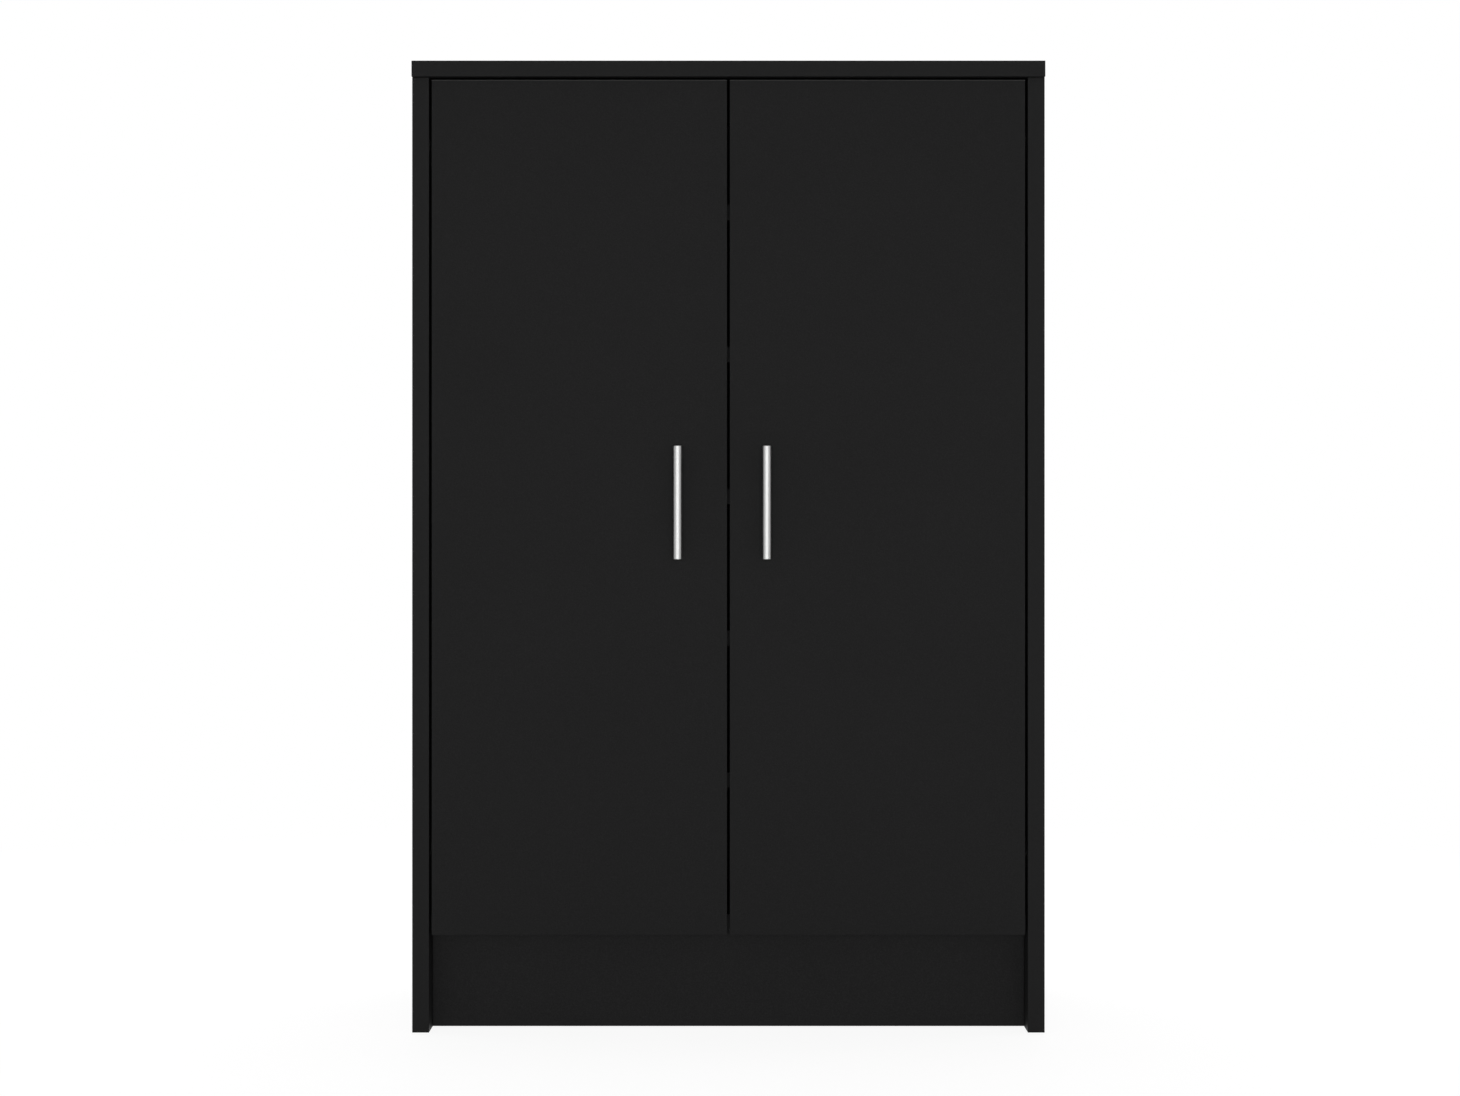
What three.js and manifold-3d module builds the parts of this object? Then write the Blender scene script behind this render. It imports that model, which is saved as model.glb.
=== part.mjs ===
// Shoe cabinet: a free-standing carcase with five shelves behind two inset doors.
// Each door hangs on two concealed cup hinges and is pulled by a round bar handle.
//
// Millimetres. +X is to the right, +Y to the back and +Z up. The origin is on the floor,
// under the middle of the cabinet with its handles, and the doors face -Y.

import * as THREE from 'three';
import { RoundedBoxGeometry } from 'three/addons/geometries/RoundedBoxGeometry.js';
import { mergeVertices } from 'three/addons/utils/BufferGeometryUtils.js';
import Module from 'manifold-3d';

const wasm = await Module();
wasm.setup();

// ---------------------------------------------------------------- driving dimensions

const WIDTH = 600;
const HEIGHT = 921;
const TOP_DEPTH = 350;
const TOP_OVERHANG = 7;         // how far the top stands out in front of the sides
const BOARD = 15;               // melamine-faced chipboard
const SIDE_BOARD = 16;          // the same board, a size thicker, for the side panels
const BACK_BOARD = 3;           // hardboard
const BACK_RECESS = 0.5;        // the back panel's face in front of the top's rear edge
const ARRIS = 0.4;              // rounding of the banded board edges
const SEAT = 0.05;              // gap left between pieces that rest on each other

const SHELF_COUNT = 5;
const SHELF_PITCH = 135.5;
const SHELF_SIDE_GAP = 1.5;
const SHELF_BACK_GAP = 0.5;
const PLINTH_TOP = 95;
const PLINTH_LIFT = 0.5;        // plinth held off the floor, so only the sides stand on it
const PLINTH_SETBACK = 38;      // plinth behind the front edges of the sides
const INNER_SETBACK = 21;       // shelves and bottom board behind the face of the doors

const DOOR_SIDE_GAP = 2.5;
const DOOR_TOP_GAP = 2.2;
const DOOR_CENTRE_GAP = 2.6;
const DOOR_LAP = 2.5;           // how far the doors hang over the plinth

const HANDLE_REACH = 27;        // door face to the front of the bar
const HANDLE_LENGTH = 107;
const HANDLE_RADIUS = 4.2;
const HANDLE_SPACING = 64;      // between the two posts
const HANDLE_HEIGHT = 502.5;

const HINGE_CUP_RADIUS = 17.5;
const HINGE_CUP_DEPTH = 11.5;
const HINGE_CUP_EDGE = 4;       // board left between the cup and the door's edge
const HINGE_SETBACK = 37 + BOARD;

const SIDES = [
  { name: 'left', sign: -1, handleX: -47.9 },
  { name: 'right', sign: 1, handleX: 36.2 },
];

// ---------------------------------------------------------------- places worked out

const HALF_WIDTH = WIDTH / 2;
const INNER_X = HALF_WIDTH - SIDE_BOARD;
const UNDER_TOP = HEIGHT - BOARD;
const BACK_Y = (TOP_DEPTH - TOP_OVERHANG + HANDLE_REACH) / 2;
const TOP_FRONT_Y = BACK_Y - TOP_DEPTH;
const FRONT_Y = TOP_FRONT_Y + TOP_OVERHANG;
const INNER_FRONT_Y = FRONT_Y + INNER_SETBACK;
const PLINTH_FRONT_Y = FRONT_Y + PLINTH_SETBACK;
const PLINTH_REAR_Y = PLINTH_FRONT_Y + BOARD;
const BACK_PANEL_Y = BACK_Y - BACK_RECESS - BACK_BOARD;

const DOOR_BACK_Y = FRONT_Y + BOARD;
const DOOR_BOTTOM = PLINTH_TOP - DOOR_LAP;
const DOOR_TOP = UNDER_TOP - DOOR_TOP_GAP;
const DOOR_OUTER_X = INNER_X - DOOR_SIDE_GAP;
const DOOR_INNER_X = DOOR_CENTRE_GAP / 2;

const BOTTOM_TOP = PLINTH_TOP + BOARD;
const shelfUnderside = (number) => PLINTH_TOP + number * SHELF_PITCH;

// A hinge stands halfway up the lowest compartment, and another halfway up the highest.
const HINGE_LEVELS = [
  { name: 'lower', z: (BOTTOM_TOP + shelfUnderside(1)) / 2 },
  { name: 'upper', z: (shelfUnderside(SHELF_COUNT) + BOARD + UNDER_TOP) / 2 },
];

const POST_LEVELS = [
  { name: 'lower', z: HANDLE_HEIGHT - HANDLE_SPACING / 2 },
  { name: 'upper', z: HANDLE_HEIGHT + HANDLE_SPACING / 2 },
];

// ---------------------------------------------------------------- materials

function finish(color, roughness, metalness) {
  return new THREE.MeshStandardMaterial({ color, roughness, metalness });
}

const FINISHES = {
  blackBoard: () => finish(0x222222, 0.5, 0),
  hardboard: () => finish(0x6b4a30, 0.8, 0),
  satinNickel: () => finish(0xc9c9c9, 0.3, 1),
  hingeSteel: () => finish(0xb4b6b8, 0.35, 1),
  zincScrew: () => finish(0xa7a9a6, 0.45, 1),
};

// ---------------------------------------------------------------- solids

// Turns a closed geometry into a solid that can be cut and joined.
function solid(geometry) {
  const bare = geometry.clone();
  bare.deleteAttribute('normal');
  bare.deleteAttribute('uv');
  const merged = mergeVertices(bare);
  return new wasm.Manifold(new wasm.Mesh({
    numProp: 3,
    vertProperties: merged.attributes.position.array,
    triVerts: Uint32Array.from(merged.index.array),
  }));
}

// Turns a cut or joined solid back into a flat-shaded geometry.
function geometryOf(shape) {
  const mesh = shape.getMesh();
  const geometry = new THREE.BufferGeometry();
  geometry.setAttribute('position', new THREE.BufferAttribute(mesh.vertProperties, 3));
  geometry.setIndex(new THREE.BufferAttribute(mesh.triVerts, 1));
  const flat = geometry.toNonIndexed();
  flat.computeVertexNormals();
  return flat;
}

function joined(shapes) {
  return shapes.reduce((whole, shape) => whole.add(shape));
}

function cut(body, tools) {
  return tools.reduce((left, tool) => left.subtract(tool), body);
}

// A board or block that fills the space between two corners.
function block(low, high, arris = 0) {
  const size = high.map((value, axis) => value - low[axis]);
  const geometry = arris > 0
    ? new RoundedBoxGeometry(...size, 1, arris)
    : new THREE.BoxGeometry(...size);
  geometry.translate(...high.map((value, axis) => (value + low[axis]) / 2));
  return solid(geometry);
}

// A round rod or drill from one point to another.
function rod(radius, start, end, sides) {
  const from = new THREE.Vector3(...start);
  const along = new THREE.Vector3(...end).sub(from);
  const geometry = new THREE.CylinderGeometry(radius, radius, along.length(), sides);
  const turn = new THREE.Quaternion();
  turn.setFromUnitVectors(new THREE.Vector3(0, 1, 0), along.clone().normalize());
  geometry.applyQuaternion(turn);
  geometry.translate(...from.addScaledVector(along, 0.5).toArray());
  return solid(geometry);
}

// A flat outline drawn in X and Y, given a thickness from zLow to zHigh.
function slab(outline, zLow, zHigh, curveSegments = 4) {
  const depth = zHigh - zLow;
  const geometry = new THREE.ExtrudeGeometry(outline, { depth, curveSegments, bevelEnabled: false });
  geometry.translate(0, 0, zLow);
  return solid(geometry);
}

// A long hole's outline, its length along X, with round ends.
function slotOutline(length, radius) {
  const reach = length / 2 - radius;
  const outline = new THREE.Shape();
  outline.absarc(reach, 0, radius, -Math.PI / 2, Math.PI / 2, false);
  outline.absarc(-reach, 0, radius, Math.PI / 2, Math.PI * 1.5, false);
  return outline;
}

// A named piece of the cabinet.
function piece(name, shape, makeFinish) {
  const mesh = new THREE.Mesh(geometryOf(shape), makeFinish());
  mesh.name = name;
  return mesh;
}

// ---------------------------------------------------------------- carcase boards

const CAM_RADIUS = 7.6;
const CAM_DEPTH = 12;
const CAM_FROM_END = 24;
const CAM_SIDES = 16;
const SIDE_CAM_ROWS_Y = [FRONT_Y + 35, BACK_PANEL_Y - 45];
const BOTTOM_CAM_ROWS_Y = [PLINTH_REAR_Y + 25, BACK_PANEL_Y - 45];

const PIN_RADIUS = 2.5;
const PIN_HOLE_RADIUS = 2.75;
const PIN_SIDES = 8;
const PIN_IN_BOARD = 9;
const PIN_IN_CABINET = 8;
const PIN_COLLAR_RADIUS = 3.6;
const PIN_COLLAR = 1;
const PIN_ROWS = [
  { name: 'front', y: INNER_FRONT_Y + 37 },
  { name: 'back', y: BACK_PANEL_Y - 37 },
];
const pinHeight = (number) => shelfUnderside(number) - PIN_RADIUS - SEAT;

function numbers(count) {
  return Array.from({ length: count }, (_, index) => index + 1);
}

// A side panel stands on the floor, with holes for the shelf pins and the top's cams.
function sidePanel(side) {
  const inner = side.sign * INNER_X;
  const outer = side.sign * HALF_WIDTH;
  const panel = block(
    [Math.min(inner, outer), FRONT_Y, 0],
    [Math.max(inner, outer), BACK_PANEL_Y, UNDER_TOP],
    ARRIS,
  );
  const drills = [];
  for (const row of PIN_ROWS) {
    for (const number of numbers(SHELF_COUNT)) {
      const z = pinHeight(number);
      const bottom = inner + side.sign * (PIN_IN_BOARD + 1);
      drills.push(rod(PIN_HOLE_RADIUS, [inner - side.sign, row.y, z], [bottom, row.y, z], PIN_SIDES));
    }
  }
  for (const y of SIDE_CAM_ROWS_Y) {
    const z = UNDER_TOP - CAM_FROM_END;
    const bottom = inner + side.sign * CAM_DEPTH;
    drills.push(rod(CAM_RADIUS, [inner - side.sign, y, z], [bottom, y, z], CAM_SIDES));
  }
  return piece(`side_panel_${side.name}`, cut(panel, drills), FINISHES.blackBoard);
}

function topPanel() {
  const shape = block([-HALF_WIDTH, TOP_FRONT_Y, UNDER_TOP], [HALF_WIDTH, BACK_Y, HEIGHT], ARRIS);
  return piece('top_panel', shape, FINISHES.blackBoard);
}

// The bottom board is drilled from below for the cams that hold it between the sides.
function bottomPanel() {
  const board = block(
    [-INNER_X, INNER_FRONT_Y, PLINTH_TOP],
    [INNER_X, BACK_PANEL_Y, BOTTOM_TOP],
    ARRIS,
  );
  const drills = [];
  for (const side of SIDES) {
    for (const y of BOTTOM_CAM_ROWS_Y) {
      const x = side.sign * (INNER_X - CAM_FROM_END);
      drills.push(rod(CAM_RADIUS, [x, y, PLINTH_TOP - 1], [x, y, PLINTH_TOP + CAM_DEPTH], CAM_SIDES));
    }
  }
  return piece('bottom_panel', cut(board, drills), FINISHES.blackBoard);
}

// The plinth board stands on edge under the bottom board, drilled from behind for its cams.
function plinth() {
  const board = block(
    [-INNER_X, PLINTH_FRONT_Y, PLINTH_LIFT],
    [INNER_X, PLINTH_REAR_Y, PLINTH_TOP],
    ARRIS,
  );
  const z = (PLINTH_LIFT + PLINTH_TOP) / 2;
  const drills = SIDES.map((side) => {
    const x = side.sign * (INNER_X - CAM_FROM_END);
    return rod(CAM_RADIUS, [x, PLINTH_REAR_Y + 1, z], [x, PLINTH_REAR_Y - CAM_DEPTH, z], CAM_SIDES);
  });
  return piece('plinth', cut(board, drills), FINISHES.blackBoard);
}

function shelf(number) {
  const z = shelfUnderside(number);
  const reach = INNER_X - SHELF_SIDE_GAP;
  const board = block(
    [-reach, INNER_FRONT_Y, z],
    [reach, BACK_PANEL_Y - SHELF_BACK_GAP, z + BOARD],
    ARRIS,
  );
  return piece(`shelf_${number}`, board, FINISHES.blackBoard);
}

// The back panel is nailed on the rear edges of the sides and the bottom board.
function backPanel() {
  const inset = 2;
  const board = block(
    [inset - HALF_WIDTH, BACK_PANEL_Y + SEAT, PLINTH_TOP + inset],
    [HALF_WIDTH - inset, BACK_Y - BACK_RECESS, UNDER_TOP - SEAT],
  );
  return piece('back_panel', board, FINISHES.hardboard);
}

// A shelf pin is turned: a shank in the side panel, a collar and a peg under the shelf.
function shelfPin(number, side, row) {
  const profile = [
    [0, -PIN_IN_BOARD],
    [PIN_RADIUS, -PIN_IN_BOARD],
    [PIN_RADIUS, SEAT],
    [PIN_COLLAR_RADIUS, SEAT],
    [PIN_COLLAR_RADIUS, PIN_COLLAR],
    [PIN_RADIUS, PIN_COLLAR],
    [PIN_RADIUS, PIN_IN_CABINET],
    [0, PIN_IN_CABINET],
  ].map(([radius, along]) => new THREE.Vector2(radius, along));
  const turned = solid(new THREE.LatheGeometry(profile, PIN_SIDES));
  const mesh = piece(`shelf_pin_${number}_${side.name}_${row.name}`, turned, FINISHES.zincScrew);
  mesh.rotation.z = side.sign * Math.PI / 2;
  mesh.position.set(side.sign * INNER_X, row.y, pinHeight(number));
  return mesh;
}

// ---------------------------------------------------------------- concealed hinges
//
// A hinge is drawn where its own frame has X from the side panel's inner face into the
// cabinet, Y from the face of the doors to the back, and Z from the hinge's middle height.
// The right-hand hinges are the same pieces, turned half a turn about Y.
//
// The cup is let into the door and carries a pin. The arm's eye turns on that pin. From
// there the arm leaves the cup and bends round the path of the door's edge in an arc about
// the pin, so that the whole edge strip can swing inside the arc, and its channel then
// saddles the block of the mounting plate.

const CUP_WALL = 0.8;
const CUP_SIDES = 28;
const CUP_X = DOOR_SIDE_GAP + HINGE_CUP_EDGE + HINGE_CUP_RADIUS;
const CUP_FLOOR_Y = BOARD - HINGE_CUP_DEPTH;
const CUP_OUTER_RADIUS = HINGE_CUP_RADIUS - 0.2;
const CUP_INNER_RADIUS = CUP_OUTER_RADIUS - CUP_WALL;
const FLANGE = 1.2;
const FLANGE_RADIUS = 19.3;
const FLANGE_SCREW_X = CUP_X + 6;
const FLANGE_SCREW_Z = 24;
const FLANGE_SCREW_RADIUS = 2.1;

const PIVOT = new THREE.Vector2(13, 6.75);
const AXLE_RADIUS = 1.25;
const AXLE_CLEARANCE = 0.08;
const AXLE_HALF_LENGTH = 12;
const AXLE_SIDES = 16;
const LUG_HALF_WIDTH = 3.2;
const LUG_START_Z = 8;          // the lugs stand outside the arm's eye
const EYE_RADIUS = 2.2;

const ARM_GAUGE = 2;
const ARM_HALF_WIDTH = 7;
const ARM_SWEEP_RADIUS = 15.5;  // centre line of the arc that clears the door's edge
const ARM_SWEEP_END = THREE.MathUtils.degToRad(65);
const ARM_CORNER_RADIUS = 3;
const ARM_BEND_RADIUS = 5;
const ARM_WEB_X = 9;
const ARM_END_Y = HINGE_SETBACK + 27;
const CHANNEL_GAUGE = 1.4;
const CHANNEL_START_Y = HINGE_SETBACK - 22;
const CHANNEL_FOOT_X = 2.6;

const PLATE_GAUGE = 1.8;
const PLATE_BLOCK_HALF_WIDTH = 5.2;
const PLATE_BLOCK_START_Y = HINGE_SETBACK - 15;
const PLATE_WING_HALF_WIDTH = 7;
const PLATE_WING_REACH = 23;
const PLATE_SCREW_Z = 16;
const PLATE_SCREW_RADIUS = 2.6;
const CLAMP_SCREW_Y = HINGE_SETBACK + 15;
const ADJUSTER_Y = HINGE_SETBACK - 6;
const CLAMP_SCREW_RADIUS = 2.4;

function axleRod(radius, halfLength) {
  return rod(radius, [PIVOT.x, PIVOT.y, -halfLength], [PIVOT.x, PIVOT.y, halfLength], AXLE_SIDES);
}

function hingeCup() {
  const rim = BOARD + SEAT + FLANGE;
  const profile = [
    [0, CUP_FLOOR_Y],
    [CUP_OUTER_RADIUS - CUP_WALL, CUP_FLOOR_Y],
    [CUP_OUTER_RADIUS, CUP_FLOOR_Y + CUP_WALL],
    [CUP_OUTER_RADIUS, rim],
    [CUP_INNER_RADIUS, rim],
    [CUP_INNER_RADIUS, CUP_FLOOR_Y + CUP_WALL],
    [0, CUP_FLOOR_Y + CUP_WALL],
  ].map(([radius, along]) => new THREE.Vector2(radius, along));
  const bowlGeometry = new THREE.LatheGeometry(profile, CUP_SIDES);
  bowlGeometry.translate(CUP_X, 0, 0);
  const bowl = solid(bowlGeometry);
  const under = BOARD + SEAT;
  const disc = rod(FLANGE_RADIUS, [CUP_X, under, 0], [CUP_X, rim, 0], CUP_SIDES);
  const earLength = 2 * (FLANGE_SCREW_Z + 6);
  const ears = slab(slotOutline(earLength, 6), -rim, -under);
  const placedEars = ears.rotate([90, 0, 0]).rotate([0, 90, 0]).translate([FLANGE_SCREW_X, 0, 0]);
  const mouth = rod(CUP_INNER_RADIUS, [CUP_X, under - 1, 0], [CUP_X, rim + 1, 0], CUP_SIDES);
  const flange = disc.add(placedEars).subtract(mouth);
  const screwHoles = [-FLANGE_SCREW_Z, FLANGE_SCREW_Z].map((z) => rod(
    FLANGE_SCREW_RADIUS,
    [FLANGE_SCREW_X, under - 1, z],
    [FLANGE_SCREW_X, rim + 1, z],
    10,
  ));
  // Two lugs inside the cup hold the ends of the pin.
  const cupVolume = rod(CUP_OUTER_RADIUS, [CUP_X, CUP_FLOOR_Y + CUP_WALL / 2, 0], [CUP_X, rim, 0], CUP_SIDES);
  const lugs = [-1, 1].map((end) => block(
    [PIVOT.x - LUG_HALF_WIDTH, CUP_FLOOR_Y, Math.min(end * LUG_START_Z, end * CUP_OUTER_RADIUS)],
    [PIVOT.x + LUG_HALF_WIDTH, PIVOT.y + LUG_HALF_WIDTH, Math.max(end * LUG_START_Z, end * CUP_OUTER_RADIUS)],
  ).intersect(cupVolume));
  const axleHole = axleRod(AXLE_RADIUS + AXLE_CLEARANCE, AXLE_HALF_LENGTH + 0.1);
  return cut(joined([bowl, flange, ...lugs]), [...screwHoles, axleHole]);
}

function hingeAxle() {
  return axleRod(AXLE_RADIUS, AXLE_HALF_LENGTH);
}

// The arm's centre line, seen from above.
function armCentreLine() {
  const across = ARM_SWEEP_RADIUS - ARM_CORNER_RADIUS;
  const cornerTurn = Math.asin(ARM_CORNER_RADIUS / across);
  const cornerX = PIVOT.x + across * Math.cos(cornerTurn);
  const cornerY = PIVOT.y + ARM_CORNER_RADIUS;
  const leave = new THREE.Vector2(Math.cos(ARM_SWEEP_END), Math.sin(ARM_SWEEP_END));
  const leaveX = PIVOT.x + ARM_SWEEP_RADIUS * leave.x;
  const leaveY = PIVOT.y + ARM_SWEEP_RADIUS * leave.y;
  // The straight stretch runs at a tangent to the sweep until the bend towards the back.
  const bendX = ARM_WEB_X + ARM_BEND_RADIUS;
  const bendStartX = bendX - ARM_BEND_RADIUS * leave.x;
  const run = (leaveX - bendStartX) / leave.y;
  const bendY = leaveY + run * leave.x + ARM_BEND_RADIUS * leave.y;
  const line = new THREE.Path();
  line.moveTo(PIVOT.x, PIVOT.y);
  line.lineTo(cornerX, PIVOT.y);
  line.absarc(cornerX, cornerY, ARM_CORNER_RADIUS, -Math.PI / 2, cornerTurn, false);
  line.absarc(PIVOT.x, PIVOT.y, ARM_SWEEP_RADIUS, cornerTurn, ARM_SWEEP_END, false);
  line.absarc(bendX, bendY, ARM_BEND_RADIUS, ARM_SWEEP_END - Math.PI, -Math.PI, true);
  line.lineTo(ARM_WEB_X, ARM_END_Y);
  return line;
}

// The outline of a strip of even thickness along a smooth line.
function stripOutline(line, thickness, divisions) {
  const points = line.getPoints(divisions).filter(
    (point, index, all) => index === 0 || point.distanceTo(all[index - 1]) > 1e-6,
  );
  const offset = (amount) => points.map((point, index) => {
    const before = points[Math.max(index - 1, 0)];
    const after = points[Math.min(index + 1, points.length - 1)];
    const along = after.clone().sub(before).normalize();
    return new THREE.Vector2(point.x - along.y * amount, point.y + along.x * amount);
  });
  const right = offset(-thickness / 2);
  const left = offset(thickness / 2).reverse();
  return new THREE.Shape([...right, ...left]);
}

function hingeArm() {
  const strip = slab(
    stripOutline(armCentreLine(), ARM_GAUGE, 4),
    -ARM_HALF_WIDTH,
    ARM_HALF_WIDTH,
  );
  const eye = axleRod(EYE_RADIUS, ARM_HALF_WIDTH);
  const webFront = ARM_WEB_X - ARM_GAUGE / 2;
  const webRear = ARM_WEB_X + ARM_GAUGE / 2;
  const cheek = new THREE.Shape();
  cheek.moveTo(webRear, CHANNEL_START_Y);
  cheek.lineTo(webRear, ARM_END_Y);
  cheek.lineTo(CHANNEL_FOOT_X + 2, ARM_END_Y);
  cheek.lineTo(CHANNEL_FOOT_X, ARM_END_Y - 6);
  cheek.lineTo(CHANNEL_FOOT_X, CHANNEL_START_Y + 10);
  cheek.lineTo(webFront, CHANNEL_START_Y);
  const cheeks = [
    slab(cheek, -ARM_HALF_WIDTH, CHANNEL_GAUGE - ARM_HALF_WIDTH),
    slab(cheek, ARM_HALF_WIDTH - CHANNEL_GAUGE, ARM_HALF_WIDTH),
  ];
  const clampSlot = slab(slotOutline(11, CLAMP_SCREW_RADIUS), -3, 3)
    .rotate([0, 0, 90])
    .rotate([0, 90, 0])
    .translate([ARM_WEB_X, CLAMP_SCREW_Y, 0]);
  const adjusterHole = rod(
    CLAMP_SCREW_RADIUS,
    [ARM_WEB_X - 3, ADJUSTER_Y, 0],
    [ARM_WEB_X + 3, ADJUSTER_Y, 0],
    10,
  );
  const axleHole = axleRod(AXLE_RADIUS + AXLE_CLEARANCE, ARM_HALF_WIDTH + 1);
  return cut(joined([strip, eye, ...cheeks]), [clampSlot, adjusterHole, axleHole]);
}

function hingePlate() {
  const wingLength = 2 * PLATE_WING_REACH;
  const wings = slab(slotOutline(wingLength, PLATE_WING_HALF_WIDTH), SEAT, PLATE_GAUGE)
    .rotate([0, -90, 0])
    .scale([-1, 1, 1])
    .translate([0, HINGE_SETBACK, 0]);
  const blockHalf = PLATE_BLOCK_HALF_WIDTH;
  const top = ARM_WEB_X - ARM_GAUGE / 2 - SEAT;
  const raised = block([SEAT, PLATE_BLOCK_START_Y, -blockHalf], [top, ARM_END_Y - 1, blockHalf]);
  const holes = [-PLATE_SCREW_Z, PLATE_SCREW_Z].map(
    (z) => rod(PLATE_SCREW_RADIUS, [-1, HINGE_SETBACK, z], [PLATE_GAUGE + 1, HINGE_SETBACK, z], 12),
  );
  for (const y of [ADJUSTER_Y, CLAMP_SCREW_Y]) {
    holes.push(rod(CLAMP_SCREW_RADIUS - 0.4, [PLATE_GAUGE, y, 0], [top + 1, y, 0], 12));
  }
  return cut(wings.add(raised), holes);
}

// The frame that a hinge's pieces are drawn in.
function hingeFrame(side, level) {
  const frame = new THREE.Group();
  frame.position.set(side.sign * INNER_X, FRONT_Y, level.z);
  frame.rotation.y = side.sign > 0 ? Math.PI : 0;
  return frame;
}

// ---------------------------------------------------------------- handles

const BAR_SIDES = 24;
const BAR_CHAMFER = 0.5;
const POST_RADIUS = 3.3;
const POST_SIDES = 20;
const SPIGOT_RADIUS = 1.8;
const SPIGOT_DEPTH = 3.4;
const SADDLE_GAP = 0.15;
const SCREW_RADIUS = 1.95;
const SCREW_THREAD_RADIUS = 2.1;
const SCREW_IN_POST = 8;
const SCREW_HEAD_RADIUS = 4;
const SCREW_HEAD = 2.4;
const HANDLE_HOLE_RADIUS = 2.6;
const BAR_AXIS_Y = FRONT_Y - HANDLE_REACH + HANDLE_RADIUS;

// The bar is turned, with blind holes in its back for the spigots of the posts.
function handleBar(side) {
  const half = HANDLE_LENGTH / 2;
  const profile = [
    [0, -half],
    [HANDLE_RADIUS - BAR_CHAMFER, -half],
    [HANDLE_RADIUS, BAR_CHAMFER - half],
    [HANDLE_RADIUS, half - BAR_CHAMFER],
    [HANDLE_RADIUS - BAR_CHAMFER, half],
    [0, half],
  ].map(([radius, along]) => new THREE.Vector2(radius, along));
  const geometry = new THREE.LatheGeometry(profile, BAR_SIDES);
  geometry.rotateX(Math.PI / 2);
  geometry.translate(side.handleX, BAR_AXIS_Y, HANDLE_HEIGHT);
  const backOfBar = BAR_AXIS_Y + HANDLE_RADIUS;
  const drills = POST_LEVELS.map((level) => rod(
    SPIGOT_RADIUS + SADDLE_GAP,
    [side.handleX, backOfBar - SPIGOT_DEPTH - SADDLE_GAP, level.z],
    [side.handleX, backOfBar + 1, level.z],
    12,
  ));
  return cut(solid(geometry), drills);
}

// A post stands on the door, fits round the bar with a saddle and enters it with a spigot.
function handlePost(side, level) {
  const x = side.handleX;
  const z = level.z;
  const doorFace = FRONT_Y - SEAT;
  const backOfBar = BAR_AXIS_Y + HANDLE_RADIUS;
  const column = rod(POST_RADIUS, [x, BAR_AXIS_Y, z], [x, doorFace, z], POST_SIDES);
  const saddle = rod(
    HANDLE_RADIUS + SADDLE_GAP,
    [x, BAR_AXIS_Y, z - 2 * POST_RADIUS],
    [x, BAR_AXIS_Y, z + 2 * POST_RADIUS],
    BAR_SIDES,
  );
  const spigot = rod(SPIGOT_RADIUS, [x, backOfBar - SPIGOT_DEPTH, z], [x, backOfBar + 3, z], 12);
  const threadEnd = doorFace - SCREW_IN_POST - 1;
  const thread = rod(SCREW_THREAD_RADIUS, [x, threadEnd, z], [x, doorFace + 1, z], 12);
  return column.subtract(saddle).add(spigot).subtract(thread);
}

// A cross-recessed screw passes through the door from inside and holds the post.
function handleScrew(side, level) {
  const profile = [
    [0, FRONT_Y - SCREW_IN_POST],
    [SCREW_RADIUS, FRONT_Y - SCREW_IN_POST],
    [SCREW_RADIUS, DOOR_BACK_Y + SEAT],
    [SCREW_HEAD_RADIUS, DOOR_BACK_Y + SEAT],
    [SCREW_HEAD_RADIUS, DOOR_BACK_Y + SCREW_HEAD * 0.5],
    [SCREW_HEAD_RADIUS * 0.7, DOOR_BACK_Y + SCREW_HEAD],
    [0, DOOR_BACK_Y + SCREW_HEAD],
  ].map(([radius, along]) => new THREE.Vector2(radius, along));
  const geometry = new THREE.LatheGeometry(profile, 16);
  geometry.translate(side.handleX, 0, level.z);
  const long = 1.8;
  const narrow = 0.4;
  const recess = [[long, narrow], [narrow, long]].map(([halfX, halfZ]) => block(
    [side.handleX - halfX, DOOR_BACK_Y + SCREW_HEAD * 0.4, level.z - halfZ],
    [side.handleX + halfX, DOOR_BACK_Y + SCREW_HEAD + 1, level.z + halfZ],
  ));
  return cut(solid(geometry), recess);
}

// ---------------------------------------------------------------- doors

// A door board is drilled for its two hinge cups and its two handle screws.
function doorBoard(side) {
  const outer = side.sign * DOOR_OUTER_X;
  const inner = side.sign * DOOR_INNER_X;
  const board = block(
    [Math.min(outer, inner), FRONT_Y, DOOR_BOTTOM],
    [Math.max(outer, inner), DOOR_BACK_Y, DOOR_TOP],
    ARRIS,
  );
  const cupX = side.sign * (INNER_X - CUP_X);
  const drills = HINGE_LEVELS.map((level) => rod(
    HINGE_CUP_RADIUS,
    [cupX, FRONT_Y + CUP_FLOOR_Y - 0.2, level.z],
    [cupX, DOOR_BACK_Y + 1, level.z],
    CUP_SIDES,
  ));
  for (const level of POST_LEVELS) {
    const x = side.handleX;
    drills.push(rod(HANDLE_HOLE_RADIUS, [x, FRONT_Y - 1, level.z], [x, DOOR_BACK_Y + 1, level.z], 12));
  }
  return cut(board, drills);
}

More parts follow.
